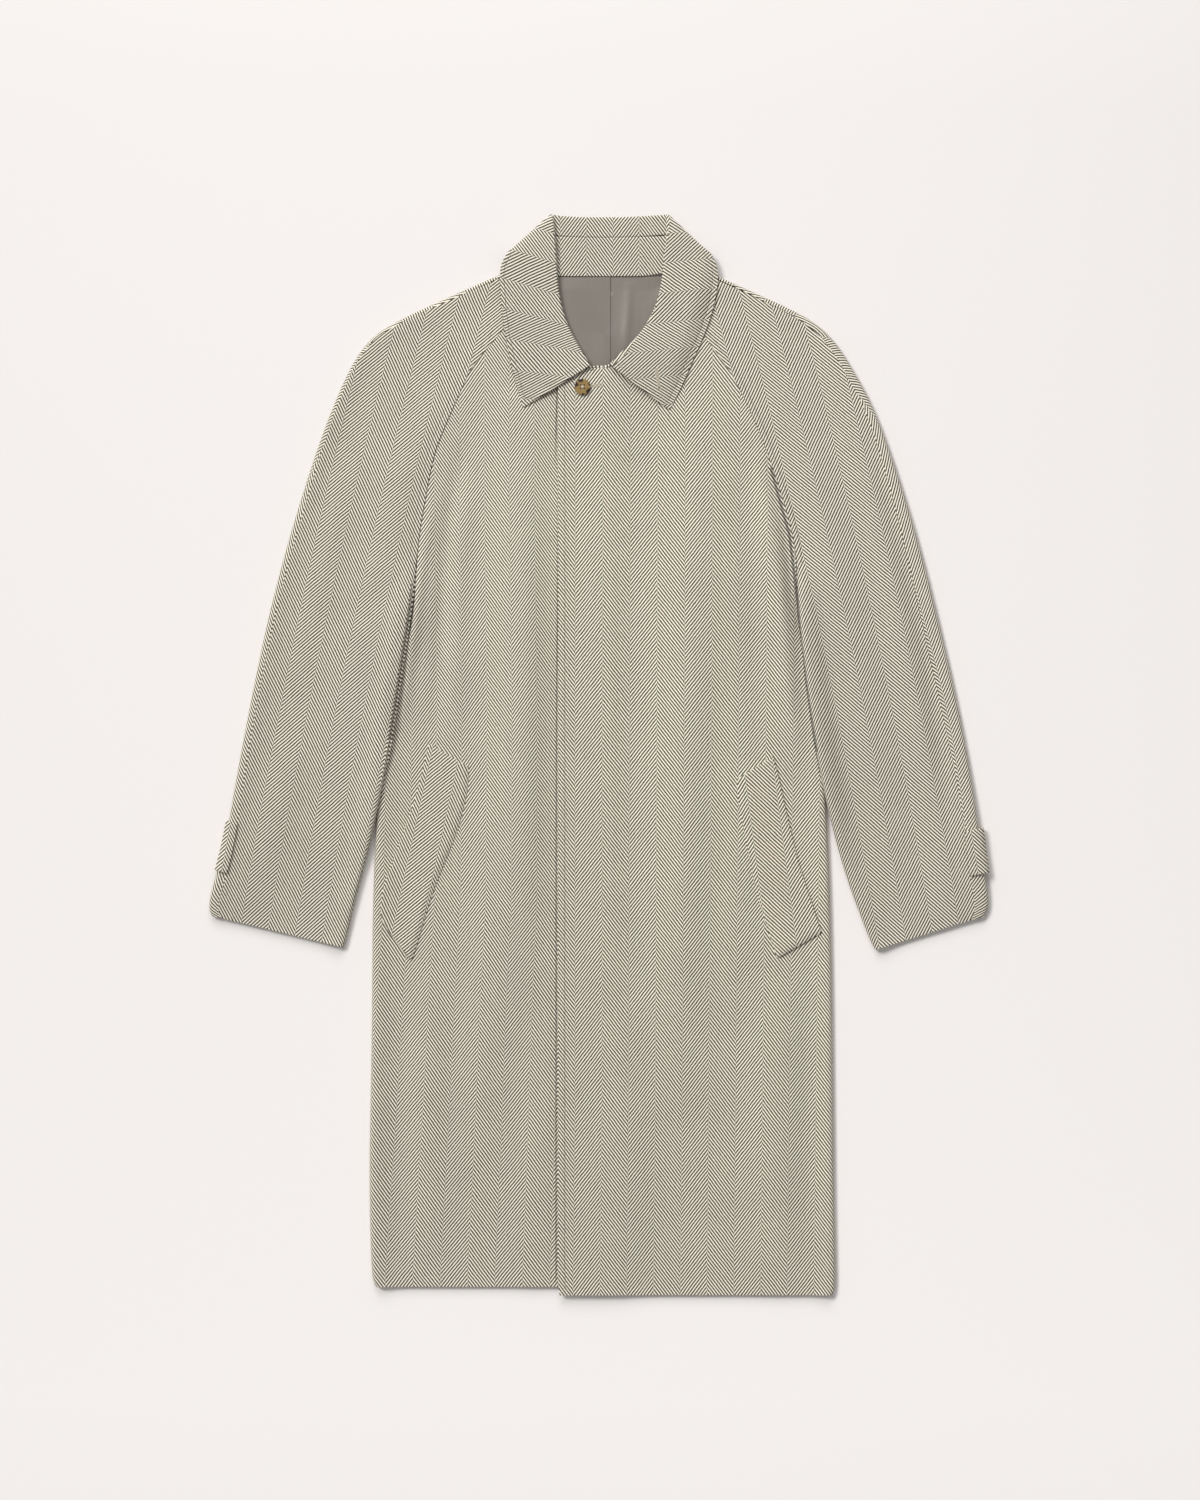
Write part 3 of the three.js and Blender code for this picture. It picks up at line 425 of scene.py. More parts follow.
def widened(piece, reach):
    """Moves the open rim outwards in the sheet, so that it meets the piece on the other side of a seam."""
    points = points_of(piece)
    outwards = np.zeros_like(points)
    for (a, b), face in open_edges(piece):
        away = (points[a] + points[b]) / 2 - np.array(face.center) / MM
        run = (points[b] - points[a]) / max(np.linalg.norm(points[b] - points[a]), 1e-9)
        away -= run * (away @ run)
        outwards[[a, b]] += away / max(np.linalg.norm(away), 1e-9)
    lengths = np.linalg.norm(outwards, axis=1)
    moved = lengths > 0
    points[moved] += reach * outwards[moved] / lengths[moved, None]
    set_points(piece, points)


def outer_skin(node, up, levels, corners=None, seam_reach=SEAM_REACH):
    """The outer side of a node as a smooth open sheet. It faces up with 1 and down with -1.

    Smoothing rounds every corner of the outline, except those that 'corners' accepts."""
    piece = merged_copy(f"{node}_cloth", node)
    bpy.ops.object.mode_set(mode="OBJECT")
    faces = piece.data.polygons
    largest = max(faces, key=lambda face: face.area if face.normal.z * up > LEVEL else 0)
    largest.select = True
    faces.active = largest.index
    bpy.ops.object.mode_set(mode="EDIT")
    bpy.ops.mesh.select_mode(type="FACE")
    bpy.ops.mesh.faces_select_linked_flat(sharpness=FLAT_TURN)
    bpy.ops.mesh.select_all(action="INVERT")
    bpy.ops.mesh.delete(type="FACE")
    bpy.ops.object.mode_set(mode="OBJECT")
    unrolled(piece, up)
    if corners:
        points = points_of(piece)
        crease = piece.data.attributes.new("crease_vert", "FLOAT", "POINT")
        crease.data.foreach_set("value", corners(points[:, 0], points[:, 1]).astype(np.float32))
    smoothed(piece, levels)
    widened(piece, seam_reach)
    return piece


# %% [markdown]
# Vertices are read and written as arrays in millimetres, which is quick and keeps the sizes easy to read.
# A place on the weave is written for each corner of each face, so two charts can meet at an edge.

# %% Vertices and UVs as arrays
def points_of(piece):
    values = np.empty(len(piece.data.vertices) * 3)
    piece.data.vertices.foreach_get("co", values)
    return values.reshape(-1, 3) / MM


def set_points(piece, points):
    piece.data.vertices.foreach_set("co", (points * MM).ravel())
    piece.data.update()


def normals_of(piece):
    values = np.empty(len(piece.data.vertices) * 3, np.float32)
    piece.data.vertex_normals.foreach_get("vector", values)
    return values.reshape(-1, 3)


def corner_vertices(piece):
    values = np.empty(len(piece.data.loops), np.int32)
    piece.data.loops.foreach_get("vertex_index", values)
    return values


def laid_places(piece):
    """x and y in millimetres of each corner, as it lies."""
    points = points_of(piece)[corner_vertices(piece)]
    return points[:, 0], points[:, 1]


def unrolled_places(piece, up=1):
    """x and y in millimetres of each corner, with the curled parts unrolled onto the table."""
    uv = np.empty(len(piece.data.loops) * 2, np.float32)
    piece.data.uv_layers["cloth"].data.foreach_get("uv", uv)
    x, y = laid_places(piece)
    level = np.clip((normals_of(piece)[corner_vertices(piece), 2] * up - 0.94) / 0.05, 0, 1)
    return level * x + (1 - level) * uv[0::2] * up / MM, level * y + (1 - level) * uv[1::2] / MM


def set_weave(piece, bands, along):
    uv = np.empty(len(piece.data.loops) * 2, np.float32)
    uv[0::2] = bands
    uv[1::2] = along * MM
    piece.data.uv_layers["cloth"].data.foreach_set("uv", uv)


# %% [markdown]
# ## Tools for seams and folds
#
# A soft fold is a path on the table with a width and a height. Its section is a smooth bell and it fades out
# at both ends, as a crease does that a hand has pressed into thick cloth. A trough has a negative height.

# %% Folds
def nearest(x, y, path):
    """Distance of each point from a path, and how far along the path its nearest place is."""
    corners = np.array(path, float)
    steps = np.diff(corners, axis=0)
    lengths = np.hypot(*steps.T)
    begun = np.concatenate([[0], np.cumsum(lengths)])
    best, part = np.full(len(x), 1e9), np.zeros(len(x))
    for k, (step, length) in enumerate(zip(steps, lengths)):
        s = ((x - corners[k, 0]) * step[0] + (y - corners[k, 1]) * step[1]) / length ** 2
        inside = np.clip(s, 0, 1)
        away = np.hypot(x - corners[k, 0] - inside * step[0], y - corners[k, 1] - inside * step[1])
        closer = away < best
        best = np.where(closer, away, best)
        part = np.where(closer, (begun[k] + inside * length) / begun[-1], part)
    return best, part


def press_folds(piece, folds, fixed=None):
    """Moves the sheet up or down along its folds. 'fixed' holds a share of 0 where nothing may move."""
    points = points_of(piece)
    x, y = points[:, 0], points[:, 1]
    lift = np.zeros(len(points))
    for fold in folds:
        away, part = nearest(x, y, fold["path"])
        lift += fold["height"] * np.exp(-(away / fold["width"]) ** 2) * np.sin(math.pi * part) ** 0.7
    facing = np.clip((normals_of(piece)[:, 2] - 0.2) / 0.6, 0, 1)
    points[:, 2] += lift * facing * (1 if fixed is None else fixed(x, y))
    set_points(piece, points)
    print(f"{piece.name}: {len(folds)} folds, from {lift.min():.1f} to {lift.max():.1f} mm")


# %% [markdown]
# A rim is a row of short segments along the edge of a piece. From it come the distances that the material
# needs, and the rows of stitches that follow it.

# %% Rims
FAR = 50.0


def open_rim(piece, wanted):
    """Segments of the open edge of a sheet that 'wanted' accepts, as an array of pairs of points."""
    points = points_of(piece)
    pairs = np.array([points[list(key)] for key, _ in open_edges(piece)])
    middle = pairs.mean(1)
    return pairs[wanted(middle[:, 0], middle[:, 1])]


def distance_to(points, rim):
    """Shortest distance of each point from the segments of a rim, as seen from above."""
    best = np.full(len(points), FAR)
    for a, b in rim[:, :, :2]:
        run = b - a
        s = np.clip((points[:, :2] - a) @ run / max(run @ run, 1e-9), 0, 1)
        away = points[:, :2] - a - s[:, None] * run
        best = np.minimum(best, np.hypot(away[:, 0], away[:, 1]))
    return best


def mark(piece, name, distance):
    """Stores a distance in millimetres for each vertex, in metres. None stands for far away."""
    values = np.full(len(piece.data.vertices), FAR) if distance is None else distance
    attribute = piece.data.attributes.new(name, "FLOAT", "POINT")
    attribute.data.foreach_set("value", (values * MM).astype(np.float32))


# %% [markdown]
# The last step of every shell is the same. It gets its thickness towards the inside, so that the outer side
# stays where the frame has it, and a small round along its rims. Then the node it stands for is hidden, and
# it is hung on the body that carries it.

# %% Finish a piece
CLOTH = 2.3
RIM_ROUND = 0.2


def finish(piece, node, material, slot="tweed"):
    piece.data.materials.clear()
    piece.data.materials.append(material)
    only_selected(piece)
    bpy.ops.object.shade_smooth()
    for name in ("edge", "line"):
        if node and slot == "tweed" and name not in piece.data.attributes:
            mark(piece, name, None)
    if node:
        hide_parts(node)
    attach(piece, "root")
    triangles = sum(len(face.vertices) - 2 for face in piece.data.polygons)
    print(f"{piece.name}: {triangles} triangles")


def above_floor(piece):
    points = points_of(piece)
    points[:, 2] = np.maximum(points[:, 2], 0)
    set_points(piece, points)


def thicken(piece):
    apply_modifier(piece, "SOLIDIFY", thickness=CLOTH * MM, offset=-1, use_rim=True)
    apply_modifier(piece, "BEVEL", width=RIM_ROUND * MM, segments=2, limit_method="ANGLE",
                   angle_limit=math.radians(58))
    above_floor(piece)


# %% [markdown]
# ## Fronts
#
# The stripes of the weave run down the fronts. Pressing and hanging let them lean a little, so the place of
# one line of the weave and the width of a band are given at a few heights, in millimetres from the middle
# of the coat, and read between them.

# %% Weave on the fronts
LEFT_STRIPES = {
    "height": [-560, -480, -373, -265, -157, 59, 275],
    "peak": [-82.4, -79.2, -75.4, -72.2, -66.8, -66.8, -69.5],
    "band": [29.6, 29.2, 28.5, 27.9, 27.6, 27.0, 27.0],
}
RIGHT_STRIPES = {
    "height": [-560, -373, 59, 275],
    "valley": [-27.7, -25.7, -25.7, -25.4],
    "band": [28.9, 28.9, 29.5, 29.65],
}


def left_front_weave(x, y):
    heights = LEFT_STRIPES["height"]
    peak = np.interp(y, heights, LEFT_STRIPES["peak"])
    return 1 + (x - peak) / np.interp(y, heights, LEFT_STRIPES["band"]), y


def right_front_weave(x, y):
    heights = RIGHT_STRIPES["height"]
    valley = np.interp(y, heights, RIGHT_STRIPES["valley"])
    return (x - valley) / np.interp(y, heights, RIGHT_STRIPES["band"]), y


# %% [markdown]
# The fronts are not pressed quite flat. Below each arm the cloth dips into a soft trough beside the sleeve
# and swells next to it, wide low waves run down from the chest, and the facing inside the closure shows as
# a slight ridge. The right front laps over the left one. Its edge is stitched, and a second row holds the
# hidden buttonholes. A thin dark line of painted shade marks the gap beside the closure edge, and another
# marks the gap beside the right sleeve.

# %% Folds of the fronts
CLOSURE_GAP = [(-45.3, 405), (-45.3, -600)]
GAP_HALF = 0.9
UNDERARM_GAP = [(186, 310), (191, 291), (206, 237), (213, 180), (221, 116), (224, 81), (234, 11), (240, -20)]
LEFT_FOLDS = [
    {"path": [(-146, 340), (-163, 249), (-168, 160), (-170, 100), (-177, 20)], "width": 10, "height": -5.0},
    {"path": [(-178, 280), (-192, 200), (-202, 120), (-212, 30)], "width": 7, "height": 3.0},
    {"path": [(-140, 300), (-154, 190), (-158, 90), (-160, -10)], "width": 12, "height": 2.2},
    {"path": [(-84, 420), (-82, 180), (-84, -60), (-86, -320)], "width": 32, "height": 8.0},
    {"path": [(-58, 340), (-56, 60), (-58, -260)], "width": 12, "height": -1.8},
    {"path": [(-120, -40), (-122, -240), (-130, -460)], "width": 24, "height": 3.2},
    {"path": [(-182, -230), (-186, -400), (-180, -545)], "width": 20, "height": 3.4},
    {"path": [(-215, -240), (-216, -400), (-212, -560)], "width": 14, "height": -1.6},
    {"path": [(-70, -300), (-66, -440), (-70, -600)], "width": 20, "height": 2.4},
    {"path": CLOSURE_GAP, "width": 2.6, "height": -1.0},
]
RIGHT_FOLDS = [
    {"path": [(168, 330), (184, 237), (193, 181), (200, 116), (207, 50), (216, -10)],
     "width": 9, "height": 5.6},
    {"path": [(184, 330), (201, 237), (209, 180), (217, 116), (221, 81), (231, 0)],
     "width": 6, "height": -2.4},
    {"path": [(156, 320), (166, 190), (172, 80), (176, -20)], "width": 15, "height": -3.2},
    {"path": [(15, 345), (14, 60), (15, -230)], "width": 5, "height": 0.8},
    {"path": [(2, 329), (60, 331), (104, 327)], "width": 9, "height": 0.8},
    {"path": [(94, 400), (98, 150), (92, -150), (84, -400)], "width": 27, "height": 5.6},
    {"path": [(150, 60), (152, -100), (140, -300)], "width": 18, "height": 2.4},
    {"path": [(30, -260), (38, -420), (30, -600)], "width": 22, "height": 2.6},
    {"path": [(196, -240), (190, -420), (196, -600)], "width": 26, "height": 3.4},
    {"path": [(224, -160), (226, -360), (222, -560)], "width": 14, "height": -1.8},
]
FLY_LINE = {"x": 22.9, "top": 342, "bottom": -226, "tail": 26}
CLOSURE = {"x_below": -40, "y_below": 398}
NECK = 410
NECK_CORNERS = {"x": (-60, 30), "y": (405, 424)}
LEVEL_TOP = {"y": 417.6, "x": (-14, 13), "kept": 0.08}


def off_the_rims(x, y):
    """No fold reaches the neck, where the collar lies."""
    return np.clip((NECK - y) / 25, 0, 1)


def at_the_neck(x, y):
    """The two corners where the short level top of the closure meets the neckline."""
    left, right = NECK_CORNERS["x"]
    low, high = NECK_CORNERS["y"]
    return (y > low) & (y < high) & (x > left) & (x < right)


def level_top(piece):
    """Draws the small arch that smoothing leaves at the top of the closure down to a level edge."""
    points = points_of(piece)
    top = LEVEL_TOP["y"]
    left, right = LEVEL_TOP["x"]
    over = (points[:, 1] > top) & (points[:, 0] > left) & (points[:, 0] < right)
    points[over, 1] = top + LEVEL_TOP["kept"] * (points[over, 1] - top)
    set_points(piece, points)


def gap_distance(piece, path):
    """Distance from a narrow gap, where no light falls between two layers of cloth."""
    points = points_of(piece)
    return np.clip(nearest(points[:, 0], points[:, 1], path)[0] - GAP_HALF, 0, None)


# %% Front shells
front_left = outer_skin("front_left", 1, 3)
set_weave(front_left, *left_front_weave(*unrolled_places(front_left)))
press_folds(front_left, LEFT_FOLDS, off_the_rims)
# the gap beside the closure edge is painted dark, as painted shade
mark(front_left, "line", gap_distance(front_left, CLOSURE_GAP))
thicken(front_left)
finish(front_left, "front_left", gap_tweed)

front_right = outer_skin("front_right", 1, 3, at_the_neck)
set_weave(front_right, *right_front_weave(*unrolled_places(front_right)))
press_folds(front_right, RIGHT_FOLDS, off_the_rims)
level_top(front_right)
closure_rim = open_rim(front_right, lambda x, y: (x < CLOSURE["x_below"]) & (y < CLOSURE["y_below"]))
mark(front_right, "edge", distance_to(points_of(front_right), closure_rim))
# the gap beside the right sleeve is painted dark, as painted shade
mark(front_right, "line", gap_distance(front_right, UNDERARM_GAP))
thicken(front_right)
finish(front_right, "front_right", gap_tweed)

# %% [markdown]
# ## Back
#
# The back is one layer that rests on the floor and curls up at its sides. Its two halves meet at a seam down
# the centre, where the weave is mirrored.

# %% Back shell
BACK_BAND = 29.0
BACK_SEAM_X = 4

back = outer_skin("back", -1, 2)
x, y = unrolled_places(back, -1)
set_weave(back, np.abs(x - BACK_SEAM_X) / BACK_BAND, y)
mark(back, "line", points_of(back)[:, 0] - BACK_SEAM_X)
thicken(back)
finish(back, "back", tweed)

# %% [markdown]
# ## Sleeves
#
# A raglan sleeve is cut in two halves, which meet in a seam along its top. Laid out, it swings away from the
# body, and its stripes swing with it: they follow shallow arcs that lean 11 degrees. The lean and the bow
# are worked out in the sleeve's own directions, across and along it.

# %% Weave on the sleeves
LEAN = math.radians(11.5)
BOW = 6.5e-5
BOW_MIDDLE = -28.4
SLEEVE_BAND = 29.6
SLEEVE_PEAK = {"left": -317.7, "right": -320.1}


def sleeve_weave(side):
    mirror = 1 if side == "left" else -1

    def weave(x, y):
        across = math.cos(LEAN) * x * mirror - math.sin(LEAN) * y
        down = -math.sin(LEAN) * x * mirror - math.cos(LEAN) * y
        line = SLEEVE_PEAK[side] + BOW * (down - BOW_MIDDLE) ** 2
        return 1 + (across - line) / SLEEVE_BAND, -down

    return weave


# %% [markdown]
# The sleeves lie fuller than the body. The inner edge turns under beside the trough of the body, where the
# crevice is painted dark as painted shade, and long shallow folds run from the shoulder to the cuff, a little
# different on each side.

# %% Folds of the sleeves
SLEEVE_FOLDS = {
    "left": [
        {"path": [(-201, 190), (-211, 108), (-225, 20), (-237, -60)], "width": 10, "height": -3.6},
        {"path": [(-150, 420), (-215, 300), (-262, 120), (-300, -60)], "width": 24, "height": 3.0},
        {"path": [(-190, 240), (-222, 110), (-244, -30), (-262, -150)], "width": 15, "height": -2.0},
        {"path": [(-262, 330), (-302, 200), (-334, 60)], "width": 20, "height": 2.4},
        {"path": [(-330, 20), (-350, -70), (-372, -170)], "width": 19, "height": 2.4},
        {"path": [(-225, 30), (-250, -90), (-270, -190)], "width": 14, "height": 2.2},
        {"path": [(-206, 190), (-250, 160), (-300, 140)], "width": 15, "height": -1.0},
    ],
    "right": [
        {"path": [(160, 430), (226, 310), (276, 130), (316, -60)], "width": 23, "height": 3.0},
        {"path": [(210, 230), (240, 100), (262, -40), (280, -150)], "width": 15, "height": -1.8},
        {"path": [(268, 350), (312, 200), (340, 60), (356, -60)], "width": 15, "height": 3.0},
        {"path": [(290, 360), (330, 220), (358, 90), (376, -60), (388, -140)], "width": 9, "height": -2.4},
        {"path": [(352, -60), (364, -120), (378, -190)], "width": 16, "height": 1.6},
        {"path": [(226, 60), (250, -60), (268, -170)], "width": 13, "height": 2.2},
        {"path": [(220, 180), (262, 150), (312, 136)], "width": 14, "height": -1.0},
    ],
}

# %% Raglan seams
RAGLAN = {
    "left": [(-107.8, 452.4), (-137.4, 418.9), (-160.2, 369.3), (-174.8, 336.1), (-187, 276.4), (-196, 215)],
    "right": [(112.8, 452), (135.6, 423), (154.2, 392), (172.8, 350.6), (195.5, 286.5), (214, 210.5)],
}
RAGLAN_REACH = 5
SEAM_IN = 6.2


def raglan_rim(piece, side):
    """The rim of a sleeve where it is sewn to the body."""
    return open_rim(piece, lambda x, y: nearest(x, y, RAGLAN[side])[0] < RAGLAN_REACH)


INNER_EDGE = {
    "left": [(-180, 325), (-196, 227), (-212, 108), (-226, 20)],
    "right": [(191, 291), (206, 237), (213, 180), (221, 116), (234, 11)],
}
CREVICE = {"reach": 9, "steep": 0.3, "growth": 2.5}


def crevice(piece, side):
    """Distance from the turned-down edge beside the body, where no light falls between sleeve and front."""
    points, facing = points_of(piece), normals_of(piece)[:, 2]
    beside = nearest(points[:, 0], points[:, 1], INNER_EDGE[side])[0] < CREVICE["reach"]
    return np.where(beside, np.clip(facing - CREVICE["steep"], 0, None) * CREVICE["growth"], FAR)


# %% Sleeve shells
for side in ("left", "right"):
    weave = sleeve_weave(side)
    half = outer_skin(f"sleeve_front_{side}", 1, 3, seam_reach=SLEEVE_SEAM_REACH)
    set_weave(half, *weave(*unrolled_places(half)))
    press_folds(half, SLEEVE_FOLDS[side])
    seam = raglan_rim(half, side)
    print(f"raglan seam on the {side}: {len(seam)} segments")
    mark(half, "edge", distance_to(points_of(half), seam) + STITCH_IN - SEAM_IN)
    # the turned-down inner edge is painted dark, as painted shade in the crevice
    mark(half, "line", crevice(half, side))
    thicken(half)
    finish(half, f"sleeve_front_{side}", sleeve_gap_tweed)
    half = outer_skin(f"sleeve_back_{side}", -1, 2, seam_reach=SLEEVE_SEAM_REACH)
    set_weave(half, *weave(*unrolled_places(half, -1)))
    thicken(half)
    finish(half, f"sleeve_back_{side}", sleeve_tweed)

# %% [markdown]
# ## Doubled pieces
#
# Collar, welts and tabs are sewn from two layers and turned, so they are as thick as their solids. Each one
# is the whole wall of its node. Its sharp rims get a crease before it is smoothed, so that they round off
# only a little, as a turned edge does.

# %% Doubled walls
RIM_TURN = math.radians(40)
RIM_CREASE = 0.75
UPPER_RIM = 1.6


def doubled(node, levels):
    """The smoothed wall of a node, and the upper rims of its solid."""
    piece = merged_copy(f"{node}_cloth", node)
    bpy.ops.mesh.select_mode(type="EDGE")
    bpy.ops.mesh.edges_select_sharp(sharpness=RIM_TURN)
    bpy.ops.transform.edge_crease(value=RIM_CREASE)
    bpy.ops.object.mode_set(mode="OBJECT")
    points = points_of(piece)
    sharp = [edge.vertices for edge in piece.data.edges if edge.select]
    rim = np.array([points[list(pair)] for pair in sharp])
    for layer in list(piece.data.uv_layers):
        piece.data.uv_layers.remove(layer)
    piece.data.uv_layers.new(name="cloth")
    return smoothed(piece, levels), rim


def height_at(piece, x, y):
    """Height of the piece under a place on the table, or None beside it. Sizes are in millimetres."""
    hit, place, _, _ = piece.ray_cast(Vector((x * MM, y * MM, 1)), Vector((0, 0, -1)))
    return place.z / MM if hit else None


def seen_rim(piece, rim, wanted, reach=2.5):
    """The part of a rim that is an outline from above: cloth on one side, and none on the other."""
    bpy.context.view_layer.update()
    kept = []
    for a, b in rim:
        middle, run = (a + b)[:2] / 2, (b - a)[:2]
        length = np.hypot(*run)
        if length < 0.5 or not wanted(*middle):
            continue
        side = np.array([-run[1], run[0]]) / length * reach
        found = [height_at(piece, *(middle + way * side)) for way in (1, -1)]
        inner = found[0] if found[1] is None else found[1]
        if None in found and inner is not None and (a[2] + b[2]) / 2 > inner - UPPER_RIM:
            kept.append((a, b))
    return np.array(kept)


# %% [markdown]
# ## Welts and tabs
#
# The welt of each pocket is a slanted strip with its own grain, which leans less than the strip itself. It is
# sewn down along its inner side, so it lies flatter there, and so does the lower end of the right one. The
# tab at each cuff comes out of the sleeve's top seam and is seen from its edge.

# %% Welt and tab shells
WELT_WEAVE = {
    "left": {"peak_at": (-152.9, -10.9), "lean": math.radians(12.4), "band": 29.8},
    "right": {"peak_at": (166.8, -90.5), "lean": math.radians(-7.4), "band": 31.5},
}


def welt_weave(side, x, y):
    weave = WELT_WEAVE[side]
    from_x, from_y = x - weave["peak_at"][0], y - weave["peak_at"][1]
    lean = weave["lean"]
    across = math.cos(lean) * from_x - math.sin(lean) * from_y
    return 1 + across / weave["band"], math.sin(lean) * x + math.cos(lean) * y


SEWN_SIDE = {
    "left": [(-140, -13), (-141.5, -42), (-150, -75), (-161, -104), (-173, -132), (-183, -159), (-202, -222)],
    "right": [(147, -27), (146, -38), (149, -63), (155.5, -91), (162, -117), (170, -146), (193, -221)],
}
SEWN_END = [(194.5, -220.4), (240.6, -193.5)]
SEWN_SINK = 1.9
SEWN_WIDTH = 5.0


def pressed_down(piece, path, reach, drop):
    """Presses both sides of a doubled piece down along a path, by 'drop' on it and by 0 at 'reach'."""
    points = points_of(piece)
    away, _ = nearest(points[:, 0], points[:, 1], path)
    points[:, 2] -= drop * np.clip(1 - away / reach, 0, 1)
    set_points(piece, points)


welt_rims = {}
for side in ("left", "right"):
    welt, welt_rims[side] = doubled(f"welt_{side}", 3)
    pressed_down(welt, SEWN_SIDE[side], SEWN_WIDTH, SEWN_SINK)
    if side == "right":
        pressed_down(welt, SEWN_END, SEWN_WIDTH, SEWN_SINK)
    set_weave(welt, *welt_weave(side, *laid_places(welt)))
    finish(welt, f"welt_{side}", tweed)
    tab, _ = doubled(f"cuff_tab_{side}", 3)
    set_weave(tab, *sleeve_weave(side)(*laid_places(tab)))
    finish(tab, f"cuff_tab_{side}", sleeve_tweed)

# %% [markdown]
# ## Collar
#
# The collar is cut across the cloth, so its stripes run around the neck. On the turned leaves they lie
# nearly level and turn a little with the leaf, and behind the neck the fall and the stand show them upright.
# Each leaf has five lines of the weave, with the height of each at one place and its slope.

# %% Weave on the collar
LEAF_WEAVE = {
    "left": {"x": -63.5, "heights": [535.9, 502.5, 471.4, 442.6, 411.4],
             "slopes": [-0.303, -0.289, -0.26, -0.182, -0.127], "first": 1, "grain": math.radians(-13)},
    "right": {"x": 73.6, "heights": [531.3, 498.9, 466.5, 437.3, 408.1],
              "slopes": [0.0875] * 5, "first": 2, "grain": math.radians(5)},
}
LEAF_EDGES = {
    "height": [410, 421, 432, 470, 480, 517, 584],
    "left": [-4, -9.5, -15.5, -34.4, -36, -45.2, -49.5],
    "right": [12, 17, 28.3, 54, 60.7, 67.1, 77.9],
}
NECK_VALLEY = 15.3
NECK_BAND = 28.6
BAND_ABOVE = 31
BAND_BELOW = 29


def leaf_weave(side, x, y):
    leaf = LEAF_WEAVE[side]
    lines = [height + slope * (x - leaf["x"]) for height, slope in zip(leaf["heights"], leaf["slopes"])]
    bands = leaf["first"] - np.clip((y - lines[0]) / BAND_ABOVE, 0, None)
    bands = bands + np.clip((lines[-1] - y) / BAND_BELOW, 0, None)
    for upper, lower in zip(lines, lines[1:]):
        bands = bands + np.clip((upper - y) / (upper - lower), 0, 1)
    return bands, x * math.cos(leaf["grain"]) + y * math.sin(leaf["grain"])


def collar_weave(piece):
    """Weave of the collar, chosen for each whole face by the part of the collar that it lies in."""
    x, y = laid_places(piece)
    sizes = np.array([len(face.vertices) for face in piece.data.polygons])
    middles = np.array([face.center for face in piece.data.polygons]) / MM
    middle_x, middle_y = (np.repeat(middles[:, k], sizes) for k in (0, 1))
    left = middle_x < np.interp(middle_y, LEAF_EDGES["height"], LEAF_EDGES["left"])
    right = middle_x > np.interp(middle_y, LEAF_EDGES["height"], LEAF_EDGES["right"])
    bands, along = 2 + (x - NECK_VALLEY) / NECK_BAND, y
    for side, chosen in (("left", left), ("right", right)):
        leaf_bands, leaf_along = leaf_weave(side, x, y)
        bands, along = np.where(chosen, leaf_bands, bands), np.where(chosen, leaf_along, along)
    return bands, along


# %% [markdown]
# The edges of the leaves are stitched a little nearer to the edge than the closure is. The outer side of the
# right leaf lies close to the coat, and both leaves swell a little before it.

# %% Collar shells
LEAF_STITCH_IN = 5.2
ROLL = 9
LEAF_TOP = 540


def on_a_leaf(x, y):
    """True on the outer edges of the leaves, away from the roll around the neck."""
    left = np.interp(y, LEAF_EDGES["height"], LEAF_EDGES["left"]) - ROLL
    right = np.interp(y, LEAF_EDGES["height"], LEAF_EDGES["right"]) + ROLL
    return y < LEAF_TOP and (x < left or x > right)


LEAF_SIDE = [(134, 552), (130, 526), (121, 486), (112, 456), (102, 430), (90, 405), (64, 350)]
LEAF_DROP = 2.1
LEAF_REACH = 16
LEAF_FOLDS = [
    {"path": LEAF_SIDE, "width": 5, "height": -1.0},
    {"path": [(108, 540), (102, 490), (88, 440), (76, 400)], "width": 15, "height": 1.6},
    {"path": [(-112, 530), (-110, 470), (-98, 420), (-88, 390)], "width": 16, "height": 1.6},
]

fall, fall_rim = doubled("collar_fall", 3)
set_weave(fall, *collar_weave(fall))
leaf_rim = seen_rim(fall, fall_rim, on_a_leaf)
mark(fall, "edge", distance_to(points_of(fall), leaf_rim) + STITCH_IN - LEAF_STITCH_IN)
press_folds(fall, LEAF_FOLDS)
pressed_down(fall, LEAF_SIDE, LEAF_REACH, LEAF_DROP)
finish(fall, "collar_fall", collar_tweed)

stand, _ = doubled("collar_stand", 3)
set_weave(stand, *collar_weave(stand))
finish(stand, "collar_stand", collar_tweed)

# %% [markdown]
# ## Lining
#
# Only the back of the lining shows, in the opening of the neck. It is taupe satin: smooth, a little shiny
# and full of small soft wrinkles. A pleat down its middle gives room to move, with its right side over the
# left, and a few stitches hold it at the top. Its fold is painted as a dark line of shade. The left half
# dips towards the pleat, and the right half falls away from it.

# %% Satin
LINING_COLOUR = (0.214, 0.189, 0.162, 1)
PLEAT_SHADE = 0.6
PLEAT_HEIGHT = 0.3

satin = plain_material("satin", LINING_COLOUR, 0.42)
shader = shader_of(satin, Sheen_Weight=0.25, Sheen_Roughness=0.35, Anisotropic=0.5)
t = Tree(satin.node_tree)
place = t.node("ShaderNodeTexCoord").outputs["Object"]
drawn_out = t.node("ShaderNodeMapping", place, (0, 0, 0), (0, 0, 0), (1.0, 0.35, 1.0)).outputs[0]
wrinkles = t.noise(drawn_out, 55, 3)
# the pleat's fold is painted dark, as painted shade
pleat = t.group(edge_group, Line=t.carried("line"), Line_shade=PLEAT_SHADE)
t.feed(shader.inputs["Base Color"], t.mix(1.0, LINING_COLOUR, t.grey(pleat["Shade"]), "MULTIPLY"))
t.relief(shader, t.math("ADD", wrinkles, t.math("MULTIPLY", pleat["Height"], PLEAT_HEIGHT)), 0.35, 2.0)

